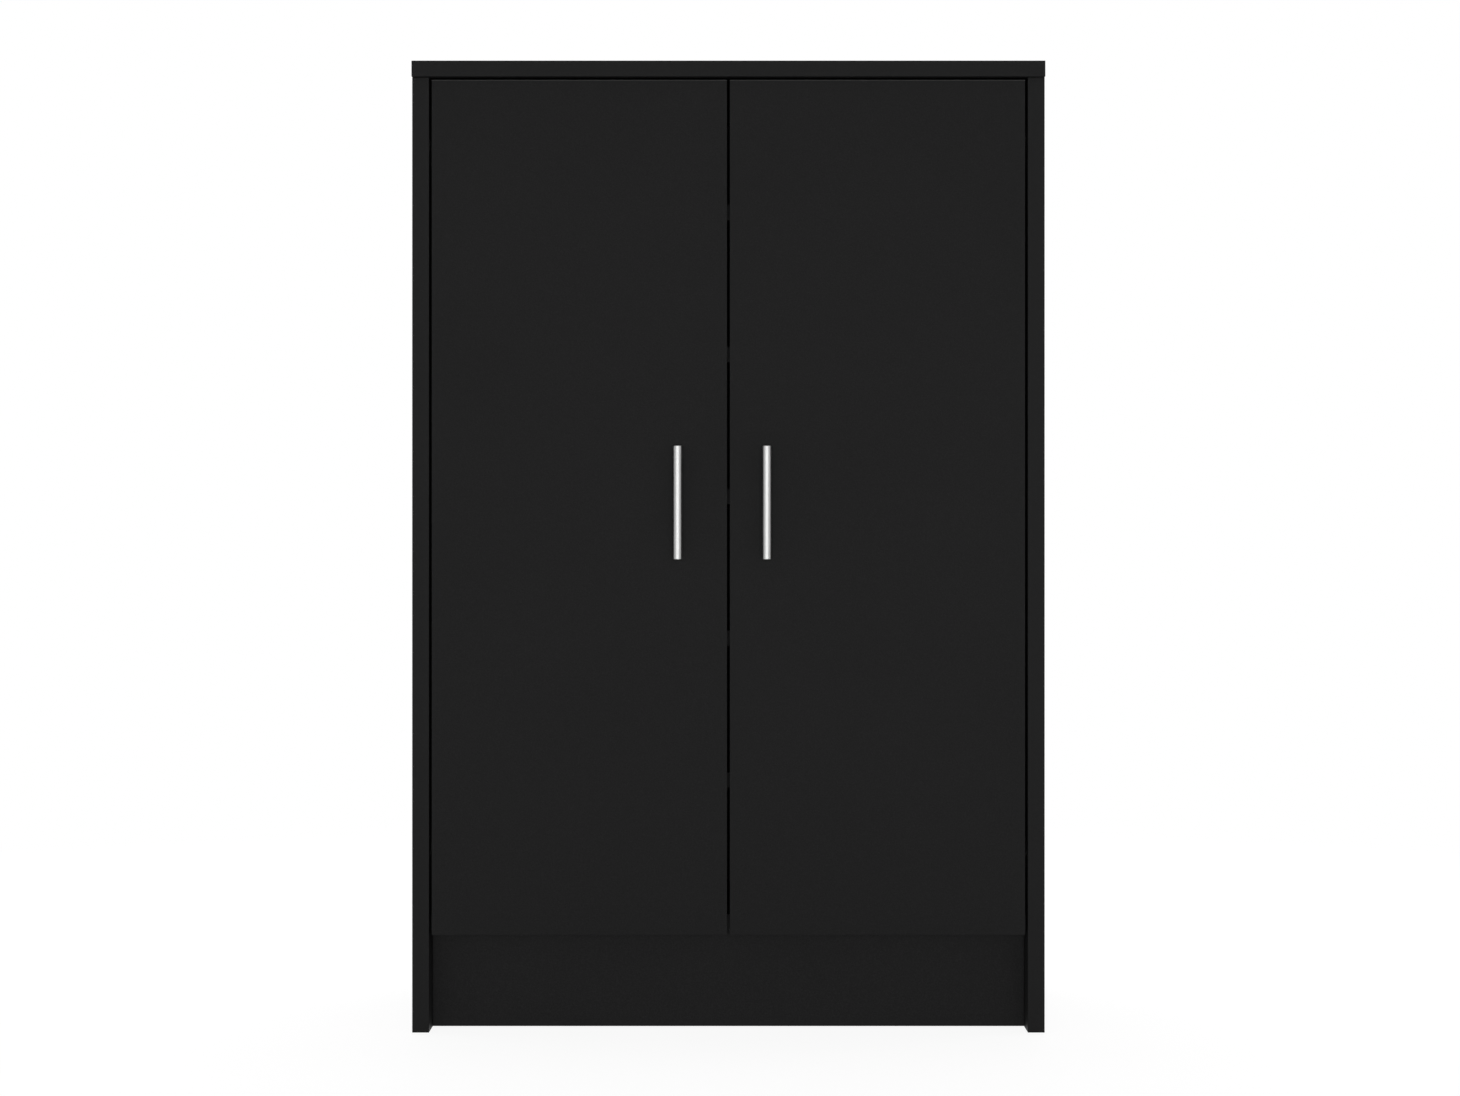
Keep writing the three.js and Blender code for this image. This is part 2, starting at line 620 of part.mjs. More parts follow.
// A door with all that swings on it. Its group turns about Z on the line of the hinge pins.
function doorAssembly(side) {
  const swing = new THREE.Group();
  swing.position.set(side.sign * (INNER_X - PIVOT.x), FRONT_Y + PIVOT.y, 0);
  const onDoor = (mesh) => {
    mesh.position.sub(swing.position);
    swing.add(mesh);
  };
  onDoor(piece(`door_${side.name}`, doorBoard(side), FINISHES.blackBoard));
  onDoor(piece(`handle_bar_${side.name}`, handleBar(side), FINISHES.satinNickel));
  for (const level of POST_LEVELS) {
    const place = `${side.name}_${level.name}`;
    onDoor(piece(`handle_post_${place}`, handlePost(side, level), FINISHES.satinNickel));
    onDoor(piece(`handle_screw_${place}`, handleScrew(side, level), FINISHES.zincScrew));
  }
  for (const level of HINGE_LEVELS) {
    const place = `${side.name}_${level.name}`;
    const frame = hingeFrame(side, level);
    frame.add(piece(`hinge_cup_${place}`, hingeCup(), FINISHES.hingeSteel));
    frame.add(piece(`hinge_pin_${place}`, hingeAxle(), FINISHES.hingeSteel));
    onDoor(frame);
  }
  return swing;
}

// ---------------------------------------------------------------- the cabinet

const cabinet = new THREE.Group();
const carcase = new THREE.Group();
cabinet.add(carcase);

carcase.add(topPanel());
carcase.add(bottomPanel());
carcase.add(plinth());
carcase.add(backPanel());
for (const number of numbers(SHELF_COUNT)) {
  carcase.add(shelf(number));
}
for (const side of SIDES) {
  carcase.add(sidePanel(side));
  for (const number of numbers(SHELF_COUNT)) {
    for (const row of PIN_ROWS) {
      carcase.add(shelfPin(number, side, row));
    }
  }
  for (const level of HINGE_LEVELS) {
    const place = `${side.name}_${level.name}`;
    const frame = hingeFrame(side, level);
    frame.add(piece(`hinge_arm_${place}`, hingeArm(), FINISHES.hingeSteel));
    frame.add(piece(`hinge_plate_${place}`, hingePlate(), FINISHES.hingeSteel));
    carcase.add(frame);
  }
  cabinet.add(doorAssembly(side));
}

export default cabinet;
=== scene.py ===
"""Finishes, fittings and studio for a two-door shoe cabinet, laid out as an add-on."""

import math
from itertools import product

import bmesh
import bpy
from bpy.props import FloatProperty, FloatVectorProperty, IntProperty, PointerProperty
from mathutils import Matrix, Vector


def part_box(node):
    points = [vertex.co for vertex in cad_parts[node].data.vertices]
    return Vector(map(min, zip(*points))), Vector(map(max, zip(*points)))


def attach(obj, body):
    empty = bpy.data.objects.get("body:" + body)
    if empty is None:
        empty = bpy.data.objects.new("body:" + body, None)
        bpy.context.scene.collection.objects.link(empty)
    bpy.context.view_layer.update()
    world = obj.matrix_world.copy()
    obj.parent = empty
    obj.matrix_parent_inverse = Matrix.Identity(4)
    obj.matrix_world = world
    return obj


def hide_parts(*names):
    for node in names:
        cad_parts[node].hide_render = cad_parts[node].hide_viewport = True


bl_info = {
    "name": "Shoe Cabinet",
    "version": (1, 0, 0),
    "blender": (4, 5, 0),
    "location": "3D View > Sidebar > Shoe Cabinet",
    "description": "Gives a two-door shoe cabinet its board finishes, handles, fittings and studio",
    "category": "Object",
}

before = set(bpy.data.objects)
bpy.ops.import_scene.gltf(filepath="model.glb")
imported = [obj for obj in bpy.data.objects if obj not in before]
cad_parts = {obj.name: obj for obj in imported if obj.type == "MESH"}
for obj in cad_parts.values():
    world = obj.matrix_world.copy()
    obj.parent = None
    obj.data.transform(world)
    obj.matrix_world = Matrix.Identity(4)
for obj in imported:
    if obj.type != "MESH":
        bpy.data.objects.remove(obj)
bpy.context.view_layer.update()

MM = 0.001
HANDS = ("left", "right")
LEVELS = ("lower", "upper")
SHELVES = range(1, 6)
PLACES = list(product(HANDS, LEVELS))

LEFT, RIGHT = Vector((-1, 0, 0)), Vector((1, 0, 0))
FRONT, BACK = Vector((0, -1, 0)), Vector((0, 1, 0))
DOWN, UP = Vector((0, 0, -1)), Vector((0, 0, 1))

# Mesh work.
MERGED = 0.002 * MM  # the distance within which a CAD mesh's corners are one
FLAT = math.radians(0.5)  # the angle within which its triangles are one face
LOOKING_UP = 0.9  # the least rise of the normal of a face that looks up

# How far the foil's texture is pressed in, and against it the banding's and the raw chips'.
FOIL_BUMP = 0.1 * MM
BAND_RELIEF = 0.3
CHIP_RELIEF = 4.0

# The parts of a texture's range that are stretched to run from 0 to 1.
PRESSED = (0.3, 0.65)  # of the pearl texture's height
UNEVEN = (0.3, 0.7)  # of the noise that varies a gloss
CLOUDY = (0.35, 0.65)  # of the noise that clouds the hardboard

# How far colours and roughness stray from what the settings give. The foil's, the bands'
# and the arris highlight's colours follow the pearl texture's height, darker in its dips and
# paler on its rises: painted shading of the texture.
FOIL_DIP_SHADE, BAND_DIP_SHADE, HIGHLIGHT_DIP_SHADE = 0.2, 0.08, 0.1
METAL_MOTTLE, FIBRE_MOTTLE = 0.04, 0.06
FOIL_SPREAD = 0.025

# Raw chipboard and hardboard.
RAW_INSET = 0.01 * MM
RAW_ROUGHNESS = 0.9
FIBRE_ROUGHNESS = 0.75
FIBRE_SHEEN = 0.15
FIBRE_THICKNESS = 2.6 * MM  # of the hardboard, under its foil

# The concealed hinge, measured from its own place with its door shut.
PLATE_SETBACK = 52 * MM  # from the face of the doors to the middle of the mounting plate
PLATE_FACE = 1.8 * MM
ARM_FACE = 10 * MM
FLANGE_SCREW_X, FLANGE_SCREW_Z = 30 * MM, 24 * MM
PLATE_SCREW_Z = 16 * MM
CLAMP_SCREW_Y = PLATE_SETBACK + 15 * MM
ADJUSTER_Y = PLATE_SETBACK - 6 * MM
HINGE_ROUNDING = {"cup": 0.15 * MM, "arm": 0.3 * MM, "plate": 0.3 * MM}
AXLE_ROUNDING = 0.3 * MM

# Handle posts, screws and shelf pins.
POST_ROUNDING = 0.3 * MM
THREAD_RADIUS = 1.9 * MM  # of a handle screw
HANDLE_CROSS = 1.9 * MM  # how far its cross reaches from its middle
SCREW_LIFT = 0.02 * MM  # what keeps its head clear of the door
SCREW_SHANK = 1.5 * MM  # the length of a hinge screw's shank
HINGE_CROSS = 0.55  # how far its cross reaches, against its head's radius
LARGE_HEAD = 1.1  # the arm screws' heads, against the others'
SCREW_SIDES, SHANK_SIDES = 32, 24
HEAD_DOME = 0.62  # how far a head is domed, against its height
CROSS_WIDTH = 0.22  # of its length
CROSS_HEIGHT = 0.95  # where the middle of the cutter lies, against the head's height
SHANK_OVERLAP = 0.1 * MM  # how far the shank reaches into the head
SCREW_ROUNDING = 0.08 * MM
PIN_RADIUS = 2.5 * MM
PIN_MIDDLE = 0.5 * MM  # how deep the middle of a pin lies in the side panel
PIN_ROUNDING = 0.3 * MM
COLLAR_THICKNESS = 0.95 * MM
COLLAR_MIDDLE = 0.55 * MM

# Cam locks.
CAM_DEPTH = 11.5 * MM
CAM_SIDES = 48
CAM_RIM = 0.16  # of its radius
CAM_FACE = 0.5 * MM  # how deep the face lies inside the rim
CAM_SLOTS = ((1.15, 0.2), (0.2, 1.15))  # the cross, against the radius
CAM_SUNK = 0.3 * MM  # how far the rim lies under the board's face
CAM_ROUNDING = 0.15 * MM
CUTTER_HEIGHT, CUTTER_DEPTH = 5 * MM, 2.6 * MM  # of the cross, and how deep its middle lies
CAM_FROM_END = 24 * MM
CAM_FROM_FRONT = 35 * MM
CAM_FROM_BACK = 45 * MM
CAM_BEHIND_PLINTH = 25 * MM

# Nails.
NAIL_THICKNESS = 0.6 * MM
NAIL_ROUNDING = 0.3 * MM
NAIL_LIFT = 0.1 * MM  # how far its middle stands off the board
NAIL_SIDES = 20
NAIL_FROM_CORNER = 30 * MM
NAIL_FROM_SIDE = 5 * MM
NAIL_FROM_BOTTOM = 5.5 * MM
BOTTOM_NAILS = (-200 * MM, -70 * MM, 70 * MM, 200 * MM)

# Each lamp's power in the settings, its place and its size.
LAMPS = {
    "front": ("front_power", (0.0, -4.6, 0.42), (1.2, 0.6)),
    "sheet": ("sheet_power", (0.0, -4.8, 0.6), (6.0, 1.6)),
    "left": ("side_power", (-4.0, 1.4, 1.6), (2.2, 2.2)),
    "right": ("side_power", (4.0, 1.4, 1.6), (2.2, 2.2)),
    "back": ("back_power", (0.0, 4.4, 1.4), (2.6, 2.2)),
    "overhead": ("top_power", (0.0, 1.3, 3.6), (2.4, 2.4)),
}
LIT_POINT = Vector((0, 0, 0.46))
WHITE = (1, 1, 1, 1)
PALE_PAINT = (0.9, 0.9, 0.9, 1)
FLOOR_DROP = 0.2 * MM  # how far the floor lies under the cabinet's feet
FULL_SHADOW = 0.3  # how far the floor keeps its whole shadow, against the shadow's reach


# ---------------------------------------------------------------- places in the frame


def centre_of(node):
    """The middle of a CAD node's box."""
    low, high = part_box(node)
    return (low + high) / 2


def reach(node, direction):
    """How far a CAD node reaches along a direction, measured from the origin."""
    low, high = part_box(node)
    far = Vector(high[i] if direction[i] > 0 else low[i] for i in range(3))
    return far.dot(direction)


def inward(hand):
    """The direction from a side panel into the cabinet."""
    return RIGHT if hand == "left" else LEFT


def inner_x(hand):
    """Where a side panel's inner face stands."""
    return inward(hand).x * reach(f"side_panel_{hand}", inward(hand))


def hinge_place(hand, level):
    """A hinge's own place: X into the cabinet, Y to the back, Z up from its middle height."""
    front_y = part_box(f"door_{hand}")[0].y
    height = centre_of(f"hinge_plate_{hand}_{level}").z
    turn = Matrix.Rotation(0 if hand == "left" else math.pi, 4, "Y")
    return Matrix.Translation((inner_x(hand), front_y, height)) @ turn


def facing(direction, at):
    """A place whose Z axis points along a direction."""
    turn = direction.to_track_quat("Z", "Y").to_matrix().to_4x4()
    return Matrix.Translation(at) @ turn


# ---------------------------------------------------------------- settings


class BoardSettings(bpy.types.PropertyGroup):
    """The melamine boards and the hardboard back."""

    black: FloatVectorProperty(
        name="Board black", description="Colour of the melamine foil",
        default=(0.0105, 0.0105, 0.0106), subtype="COLOR", min=0, max=1,
    )
    # Painted light: the plinth's foil is a little paler than the rest, making up for the shade that
    # falls in its recess under the doors.
    plinth_black_with_painted_light: FloatVectorProperty(
        name="Plinth black",
        description="Colour of the plinth's foil, a little paler than the rest",
        default=(0.0115, 0.0115, 0.0116), subtype="COLOR", min=0, max=1,
    )
    # Painted light: the banding on the shelves and the bottom board is paler than the foil, for the
    # light that reaches their front edges through the gap between the doors.
    shelf_band_painted_light: FloatVectorProperty(
        name="Shelf band",
        description="Colour of the edge banding on the shelves, a little paler than the foil",
        default=(0.0155, 0.0155, 0.0156), subtype="COLOR", min=0, max=1,
    )
    foil_roughness: FloatProperty(
        name="Foil roughness", description="Roughness of the matte foil",
        default=0.5, min=0, max=1,
    )
    band_roughness: FloatProperty(
        name="Band roughness",
        description="Roughness of the edge banding, which is smoother than the foil",
        default=0.46, min=0, max=1,
    )
    # Painted highlight: a pale grey line in the colour along each door's top front edge, standing
    # in for the light that its rounded arris catches.
    arris_highlight_grey: FloatVectorProperty(
        name="Milled arris",
        description="Colour of the banding along a door's top front edge, greyed by milling",
        default=(0.04, 0.04, 0.0401), subtype="COLOR", min=0, max=1,
    )
    arris_highlight_width: FloatProperty(
        name="Milled width", description="Width of the greyed line along a door's top front edge",
        default=0.8 * MM, subtype="DISTANCE", unit="LENGTH",
    )
    band_thickness: FloatProperty(
        name="Band thickness", description="Thickness of the edge banding",
        default=0.45 * MM, subtype="DISTANCE", unit="LENGTH",
    )
    sheen: FloatProperty(
        name="Foil reflection", description="Strength of the foil's mirror-like reflection",
        default=0.04, min=0, max=1,
    )
    grain: FloatProperty(
        name="Pearl size", description="Size of the bumps in the pearl-textured foil",
        default=0.7 * MM, subtype="DISTANCE", unit="LENGTH",
    )
    chip_light: FloatVectorProperty(
        name="Light chips", description="Colour of the lightest wood chips in a raw edge",
        default=(0.42, 0.27, 0.14), subtype="COLOR", min=0, max=1,
    )
    chip_dark: FloatVectorProperty(
        name="Dark chips", description="Colour of the darkest wood chips in a raw edge",
        default=(0.14, 0.07, 0.03), subtype="COLOR", min=0, max=1,
    )
    fibre: FloatVectorProperty(
        name="Hardboard", description="Colour of the raw rear face of the back panel",
        default=(0.19, 0.088, 0.036), subtype="COLOR", min=0, max=1,
    )


class HandleSettings(bpy.types.PropertyGroup):
    """The bar handles, their posts and their screws."""

    sides: IntProperty(
        name="Sides",
        description="Number of sides of a round handle piece",
        default=96, min=12, max=256,
    )
    end_rounding: FloatProperty(
        name="End rounding", description="Rounding at the ends of the bar",
        default=0.5 * MM, subtype="DISTANCE", unit="LENGTH",
    )
    nickel: FloatVectorProperty(
        name="Nickel", description="Colour of the satin nickel",
        default=(0.42, 0.42, 0.417), subtype="COLOR", min=0, max=1,
    )
    roughness: FloatProperty(
        name="Roughness", description="Roughness of the satin nickel", default=0.36, min=0, max=1,
    )
    saddle_gap: FloatProperty(
        name="Saddle gap", description="Gap between a post's saddle and the bar",
        default=0.1 * MM, subtype="DISTANCE", unit="LENGTH",
    )


class FittingSettings(bpy.types.PropertyGroup):
    """Hinges, screws, pins, cams and nails."""

    hinge_steel: FloatVectorProperty(
        name="Hinge steel", description="Colour of the nickel-plated hinges",
        default=(0.56, 0.56, 0.55), subtype="COLOR", min=0, max=1,
    )
    zinc: FloatVectorProperty(
        name="Zinc", description="Colour of zinc-plated screws and pins",
        default=(0.50, 0.51, 0.50), subtype="COLOR", min=0, max=1,
    )
    cast_zinc: FloatVectorProperty(
        name="Cast zinc", description="Colour of the cast cam locks",
        default=(0.36, 0.36, 0.37), subtype="COLOR", min=0, max=1,
    )
    screw_head_radius: FloatProperty(
        name="Screw head radius", description="Radius of a hinge screw's head",
        default=3.4 * MM, subtype="DISTANCE", unit="LENGTH",
    )
    cam_radius: FloatProperty(
        name="Cam radius", description="Radius of a cam lock",
        default=7.4 * MM, subtype="DISTANCE", unit="LENGTH",
    )
    nail_steel: FloatVectorProperty(
        name="Nail steel", description="Colour of the back panel's nails",
        default=(0.32, 0.32, 0.33), subtype="COLOR", min=0, max=1,
    )
    nail_radius: FloatProperty(
        name="Nail head radius", description="Radius of a back panel nail's head",
        default=1.6 * MM, subtype="DISTANCE", unit="LENGTH",
    )
    nail_count: IntProperty(
        name="Nails in a column",
        description="Nails along each side of the back panel",
        default=8, min=2,
    )


class StageSettings(bpy.types.PropertyGroup):
    """Camera, lamps, floor and background."""

    camera_distance: FloatProperty(
        name="Camera distance", description="Distance from the camera to the front edge of the top",
        default=3.0, subtype="DISTANCE", unit="LENGTH",
    )
    camera_height: FloatProperty(
        name="Camera height", description="Height of the camera over the floor",
        default=0.4597, subtype="DISTANCE", unit="LENGTH",
    )
    camera_aside: FloatProperty(
        name="Camera aside", description="How far the camera stands to the right of the middle",
        default=0.0015, subtype="DISTANCE", unit="LENGTH",
    )
    lens: FloatProperty(
        name="Lens", description="Focal length on a 36 mm sensor", default=78.17, min=10, max=300,
    )
    floor_size: FloatProperty(
        name="Floor size", description="Width and depth of the floor",
        default=40.0, subtype="DISTANCE", unit="LENGTH",
    )
    shadow_share: FloatProperty(
        name="Shadow share",
        description="How much of the floor's own shading shows under the white",
        default=0.15, min=0, max=1,
    )
    white_floor: FloatProperty(
        name="White floor",
        description="Brightness of the floor's white, which makes up for its shading",
        default=1.07, min=0, max=2,
    )
    shadow_reach: FloatProperty(
        name="Shadow reach",
        description="Distance from the cabinet at which the floor is plain white",
        default=2.0, subtype="DISTANCE", unit="LENGTH",
    )
    ambient: FloatProperty(
        name="Ambient light",
        description="Strength of the even light from all round",
        default=0.3, min=0,
    )
    front_power: FloatProperty(
        name="Front light",
        description="Power of the soft light by the camera",
        default=113.0, min=0,
    )
    sheet_power: FloatProperty(
        name="Light sheet",
        description="Power of the wide sheet of light that only shows in metal and gloss",
        default=82.0, min=0,
    )
    side_power: FloatProperty(
        name="Side lights",
        description="Power of each soft light at the sides",
        default=40.0, min=0,
    )
    back_power: FloatProperty(
        name="Back light",
        description="Power of the soft light behind the cabinet",
        default=60.0, min=0,
    )
    top_power: FloatProperty(
        name="Top light", description="Power of the soft light overhead", default=60.0, min=0,
    )


class CabinetSettings(bpy.types.PropertyGroup):
    """All that a user would change."""

    boards: PointerProperty(type=BoardSettings)
    handles: PointerProperty(type=HandleSettings)
    fittings: PointerProperty(type=FittingSettings)
    stage: PointerProperty(type=StageSettings)


# ---------------------------------------------------------------- modelling helpers


def select_only(*chosen):
    """Select these objects and nothing else; the first becomes active."""
    bpy.ops.object.select_all(action="DESELECT")
    for one in chosen:
        one.select_set(True)
    bpy.context.view_layer.objects.active = chosen[0]


def edit(piece):
    """Go into edit mode on one piece with nothing selected in it."""
    select_only(piece)
    bpy.ops.object.mode_set(mode="EDIT")
    bpy.ops.mesh.select_all(action="DESELECT")


def leave_edit():
    """Go back to object mode."""
    bpy.ops.object.mode_set(mode="OBJECT")


def select_top(piece):
    """In edit mode, select the faces that look up."""
    shape = bmesh.from_edit_mesh(piece.data)
    bpy.ops.mesh.select_mode(type="FACE")
    for face in shape.faces:
        face.select_set(face.normal.z > LOOKING_UP)
    bmesh.update_edit_mesh(piece.data)


def apply_modifier(piece, name, kind, **settings):
    """Add a modifier, set it and apply it."""
    modifier = piece.modifiers.new(name, kind)
    for key, value in settings.items():
        setattr(modifier, key, value)
    select_only(piece)
    bpy.ops.object.modifier_apply(modifier=modifier.name)


def round_edges(piece, width, segments=2, angle=40):
    """Round the sharp edges of a piece."""
    apply_modifier(
        piece, "round_edges", "BEVEL", width=width, segments=segments,
        limit_method="ANGLE", angle_limit=math.radians(angle),
    )


def shade(piece, angle=35):
    """Shade a piece smooth across its shallow edges, its large faces staying even."""
    select_only(piece)
    bpy.ops.object.shade_smooth_by_angle(angle=math.radians(angle))
    apply_modifier(piece, "even_normals", "WEIGHTED_NORMAL", keep_sharp=True, weight=100)


def cut_with(piece, tool):
    """Cut a tool's volume out of a piece and remove the tool."""
    apply_modifier(piece, "cut", "BOOLEAN", operation="DIFFERENCE", object=tool, solver="EXACT")
    bpy.data.objects.remove(tool)


def add_cylinder(radius, length, at, sides, direction=UP):
    """A cylinder centred on a point, along a direction."""
    bpy.ops.object.select_all(action="DESELECT")
    bpy.ops.mesh.primitive_cylinder_add(vertices=sides, radius=radius, depth=length)
    cylinder = bpy.context.object
    cylinder.data.transform(facing(direction, at))
    return cylinder


def add_box(size, at):
    """A box centred on a point."""
    bpy.ops.object.select_all(action="DESELECT")
    bpy.ops.mesh.primitive_cube_add(size=1)
    box = bpy.context.object
    box.data.transform(Matrix.Translation(at) @ Matrix.Diagonal((*size, 1)))
    return box


def copied(pattern, name, place):
    """A copy of a pattern piece with its own mesh, moved to a place."""
    copy = bpy.data.objects.new(name, pattern.data.copy())
    bpy.context.scene.collection.objects.link(copy)
    copy.data.transform(place)
    copy.data.update()
    return copy


def settle(piece, name, body, material, replaced=()):
    """Name a finished piece, give it its material and let it ride on its body."""
    piece.name = name
    piece.data.name = name
    piece.data.materials.clear()
    piece.data.materials.append(material)
    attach(piece, body)
    if replaced:
        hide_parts(*replaced)


def refined(node):
    """A merged copy of a CAD node's mesh, ready for rounded edges and smooth shading."""
    piece = bpy.data.objects.new(f"{node}_copy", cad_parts[node].data.copy())
    bpy.context.scene.collection.objects.link(piece)
    select_only(piece)
    bpy.ops.mesh.customdata_custom_splitnormals_clear()
    edit(piece)
    bpy.ops.mesh.select_all(action="SELECT")
    bpy.ops.mesh.remove_doubles(threshold=MERGED)
    bpy.ops.mesh.dissolve_limited(angle_limit=FLAT)
    leave_edit()
    return piece


# ---------------------------------------------------------------- shader helpers


def add_node(tree, kind, inputs=None, **settings):
    """Add a node, set its options, and set or link its inputs."""
    made = tree.nodes.new(kind)
    for key, value in settings.items():
        setattr(made, key, value)
    for socket, value in (inputs or {}).items():
        if isinstance(value, bpy.types.NodeSocket):
            tree.links.new(value, made.inputs[socket])
        else:
            made.inputs[socket].default_value = value
    return made


def math_node(tree, operation, first, second):
    """The result of one sum on two numbers or sockets."""
    return add_node(tree, "ShaderNodeMath", {0: first, 1: second}, operation=operation).outputs[0]


def mixed_colour(tree, factor, first, second):
    """A mix of two colours."""
    made = add_node(tree, "ShaderNodeMix", {0: factor, 6: first, 7: second}, data_type="RGBA")
    return made.outputs[2]


def mixed_value(tree, factor, first, second):
    """A mix of two values."""
    made = add_node(tree, "ShaderNodeMix", {0: factor, 2: first, 3: second}, data_type="FLOAT")
    return made.outputs[0]


def ramp(tree, value, low, high):
    """A value stretched so that low becomes 0 and high becomes 1, and no more."""
    limits = {0: value, 1: low, 2: high, 3: 0.0, 4: 1.0}
    return add_node(tree, "ShaderNodeMapRange", limits, clamp=True).outputs[0]


def noise(tree, point, scale, detail=2.0):
    """Soft noise at a scale, between 0 and 1."""
    inputs = {"Vector": point, "Scale": scale, "Detail": detail}
    return add_node(tree, "ShaderNodeTexNoise", inputs).outputs["Fac"]


def relief(tree, shader, height, strength, depth):
    """Raise a shader's surface by a height."""
    inputs = {"Strength": strength, "Distance": depth, "Height": height}
    bump = add_node(tree, "ShaderNodeBump", inputs)
    tree.links.new(bump.outputs[0], shader.inputs["Normal"])


def object_point(tree):
    """The point on the piece, in the cabinet's own frame."""
    return add_node(tree, "ShaderNodeTexCoord").outputs["Object"]


def new_group(name, inputs, outputs):
    """An empty shader node group with named sockets."""
    group = bpy.data.node_groups.new(name, "ShaderNodeTree")
    for socket, kind, default in inputs:
        made = group.interface.new_socket(socket, in_out="INPUT", socket_type=kind)
        made.default_value = default
    for socket, kind in outputs:
        group.interface.new_socket(socket, in_out="OUTPUT", socket_type=kind)
    return group, group.nodes.new("NodeGroupInput"), group.nodes.new("NodeGroupOutput")


def use_group(tree, name, **inputs):
    """Place a shader node group in a material, with its own values."""
    made = tree.nodes.new("ShaderNodeGroup")
    made.node_tree = bpy.data.node_groups[name]
    for socket, value in inputs.items():
        target = made.inputs[socket.replace("_", " ")]
        if isinstance(value, bpy.types.NodeSocket):
            tree.links.new(value, target)
        else:
            target.default_value = value
    return made.outputs


def new_material(name):
    """A material with one Principled shader, and that shader."""
    material = bpy.data.materials.new(name)
    material.use_nodes = True
    return material, material.node_tree, material.node_tree.nodes["Principled BSDF"]


def scaled(colour, share=1.0):
    """A colour made darker or paler, with the fourth number that a socket needs."""
    return (*(part * share for part in colour), 1.0)


# ---------------------------------------------------------------- shared effects


def make_beyond_plane():
    """Mask of what lies beyond a plane, for the faces of a board that are banded or left raw."""
    group, given, result = new_group(
        "beyond_plane",
        [("Normal", "NodeSocketVector", (0, 0, 1)), ("Distance", "NodeSocketFloat", 0.0)],
        [("Mask", "NodeSocketFloat")],
    )
    both = {0: object_point(group), 1: given.outputs["Normal"]}
    along = add_node(group, "ShaderNodeVectorMath", both, operation="DOT_PRODUCT")
    mask = math_node(group, "GREATER_THAN", along.outputs["Value"], given.outputs["Distance"])
    group.links.new(mask, result.inputs["Mask"])


def make_pearl():
    """Fine pearl texture pressed into a surface, and the faint unevenness of its gloss."""
    group, given, result = new_group(
        "pearl_texture",
        [("Scale", "NodeSocketFloat", 1400.0)],
        [("Height", "NodeSocketFloat"), ("Gloss", "NodeSocketFloat")],
    )
    point = object_point(group)
    fine = noise(group, point, given.outputs["Scale"])
    coarser = math_node(group, "MULTIPLY", given.outputs["Scale"], 0.6)
    cells = add_node(
        group, "ShaderNodeTexVoronoi", {"Vector": point, "Scale": coarser}, feature="SMOOTH_F1",
    )
    height = mixed_value(group, 0.5, fine, cells.outputs["Distance"])
    group.links.new(height, result.inputs["Height"])
    group.links.new(noise(group, point, scale=6.0, detail=3.0), result.inputs["Gloss"])


def make_chipboard():
    """Pressed wood chips, as an unbanded edge shows them."""
    group, given, result = new_group(
        "pressed_chips",
        [
            ("Light", "NodeSocketColor", (0.4, 0.25, 0.13, 1)),
            ("Dark", "NodeSocketColor", (0.1, 0.05, 0.02, 1)),
            ("Chip Scale", "NodeSocketFloat", 420.0),
        ],
        [("Color", "NodeSocketColor"), ("Height", "NodeSocketFloat")],
    )
    dark, light, chip_scale = (given.outputs[name] for name in ("Dark", "Light", "Chip Scale"))
    lying_flat = {"Vector": object_point(group), "Scale": (0.45, 0.45, 1.6)}
    stretched = add_node(group, "ShaderNodeMapping", lying_flat).outputs[0]
    tones = []
    for fineness in (1.0, 2.8):
        scale = math_node(group, "MULTIPLY", chip_scale, fineness)
        chips = add_node(group, "ShaderNodeTexVoronoi", {"Vector": stretched, "Scale": scale})
        parts = add_node(group, "ShaderNodeSeparateColor", {0: chips.outputs["Color"]})
        tones.append(parts.outputs[0])
    fine_share = ramp(group, noise(group, stretched, chip_scale), low=0.42, high=0.5)
    tone = mixed_value(group, fine_share, *tones)
    dust_and_hollow_shade = noise(group, object_point(group), math_node(group, "MULTIPLY", chip_scale, 4.0))
    # The fine noise gives the relief and part of the chips' tone, paler on its rises; where the
    # relief is lowest the colour turns to the dark chips' colour: painted shade in the hollows.
    colour = mixed_colour(group, mixed_value(group, 0.4, tone, dust_and_hollow_shade), dark, light)
    hollow_shade = ramp(group, dust_and_hollow_shade, low=0.4, high=0.34)
    group.links.new(mixed_colour(group, hollow_shade, colour, dark), result.inputs["Color"])
    group.links.new(dust_and_hollow_shade, result.inputs["Height"])


def make_tool_lines():
    """Fine lines that turning or drawing leaves on metal, and the gloss that varies with them."""
    group, given, result = new_group(
        "tool_lines",
        [
            ("Stretch", "NodeSocketVector", (40.0, 40.0, 5000.0)),
            ("Handled", "NodeSocketFloat", 60.0),
        ],
        [("Height", "NodeSocketFloat"), ("Gloss", "NodeSocketFloat")],
    )
    point = object_point(group)
    along = {0: point, 1: given.outputs["Stretch"]}
    stretched = add_node(group, "ShaderNodeVectorMath", along, operation="MULTIPLY").outputs[0]
    lines = noise(group, stretched, scale=1.0, detail=3.0)
    marks = noise(group, point, given.outputs["Handled"], detail=4.0)
    group.links.new(lines, result.inputs["Height"])
    group.links.new(mixed_value(group, 0.5, lines, marks), result.inputs["Gloss"])


# ---------------------------------------------------------------- materials


def near_faces(tree, node, ways, depth):
    """Mask of what lies within a depth of the faces of a board that look some ways."""
    mask = None
    for way in ways:
        plane = {"Normal": way, "Distance": reach(node, way) - depth}
        one = use_group(tree, "beyond_plane", **plane)["Mask"]
        mask = one if mask is None else math_node(tree, "MAXIMUM", mask, one)
    return mask


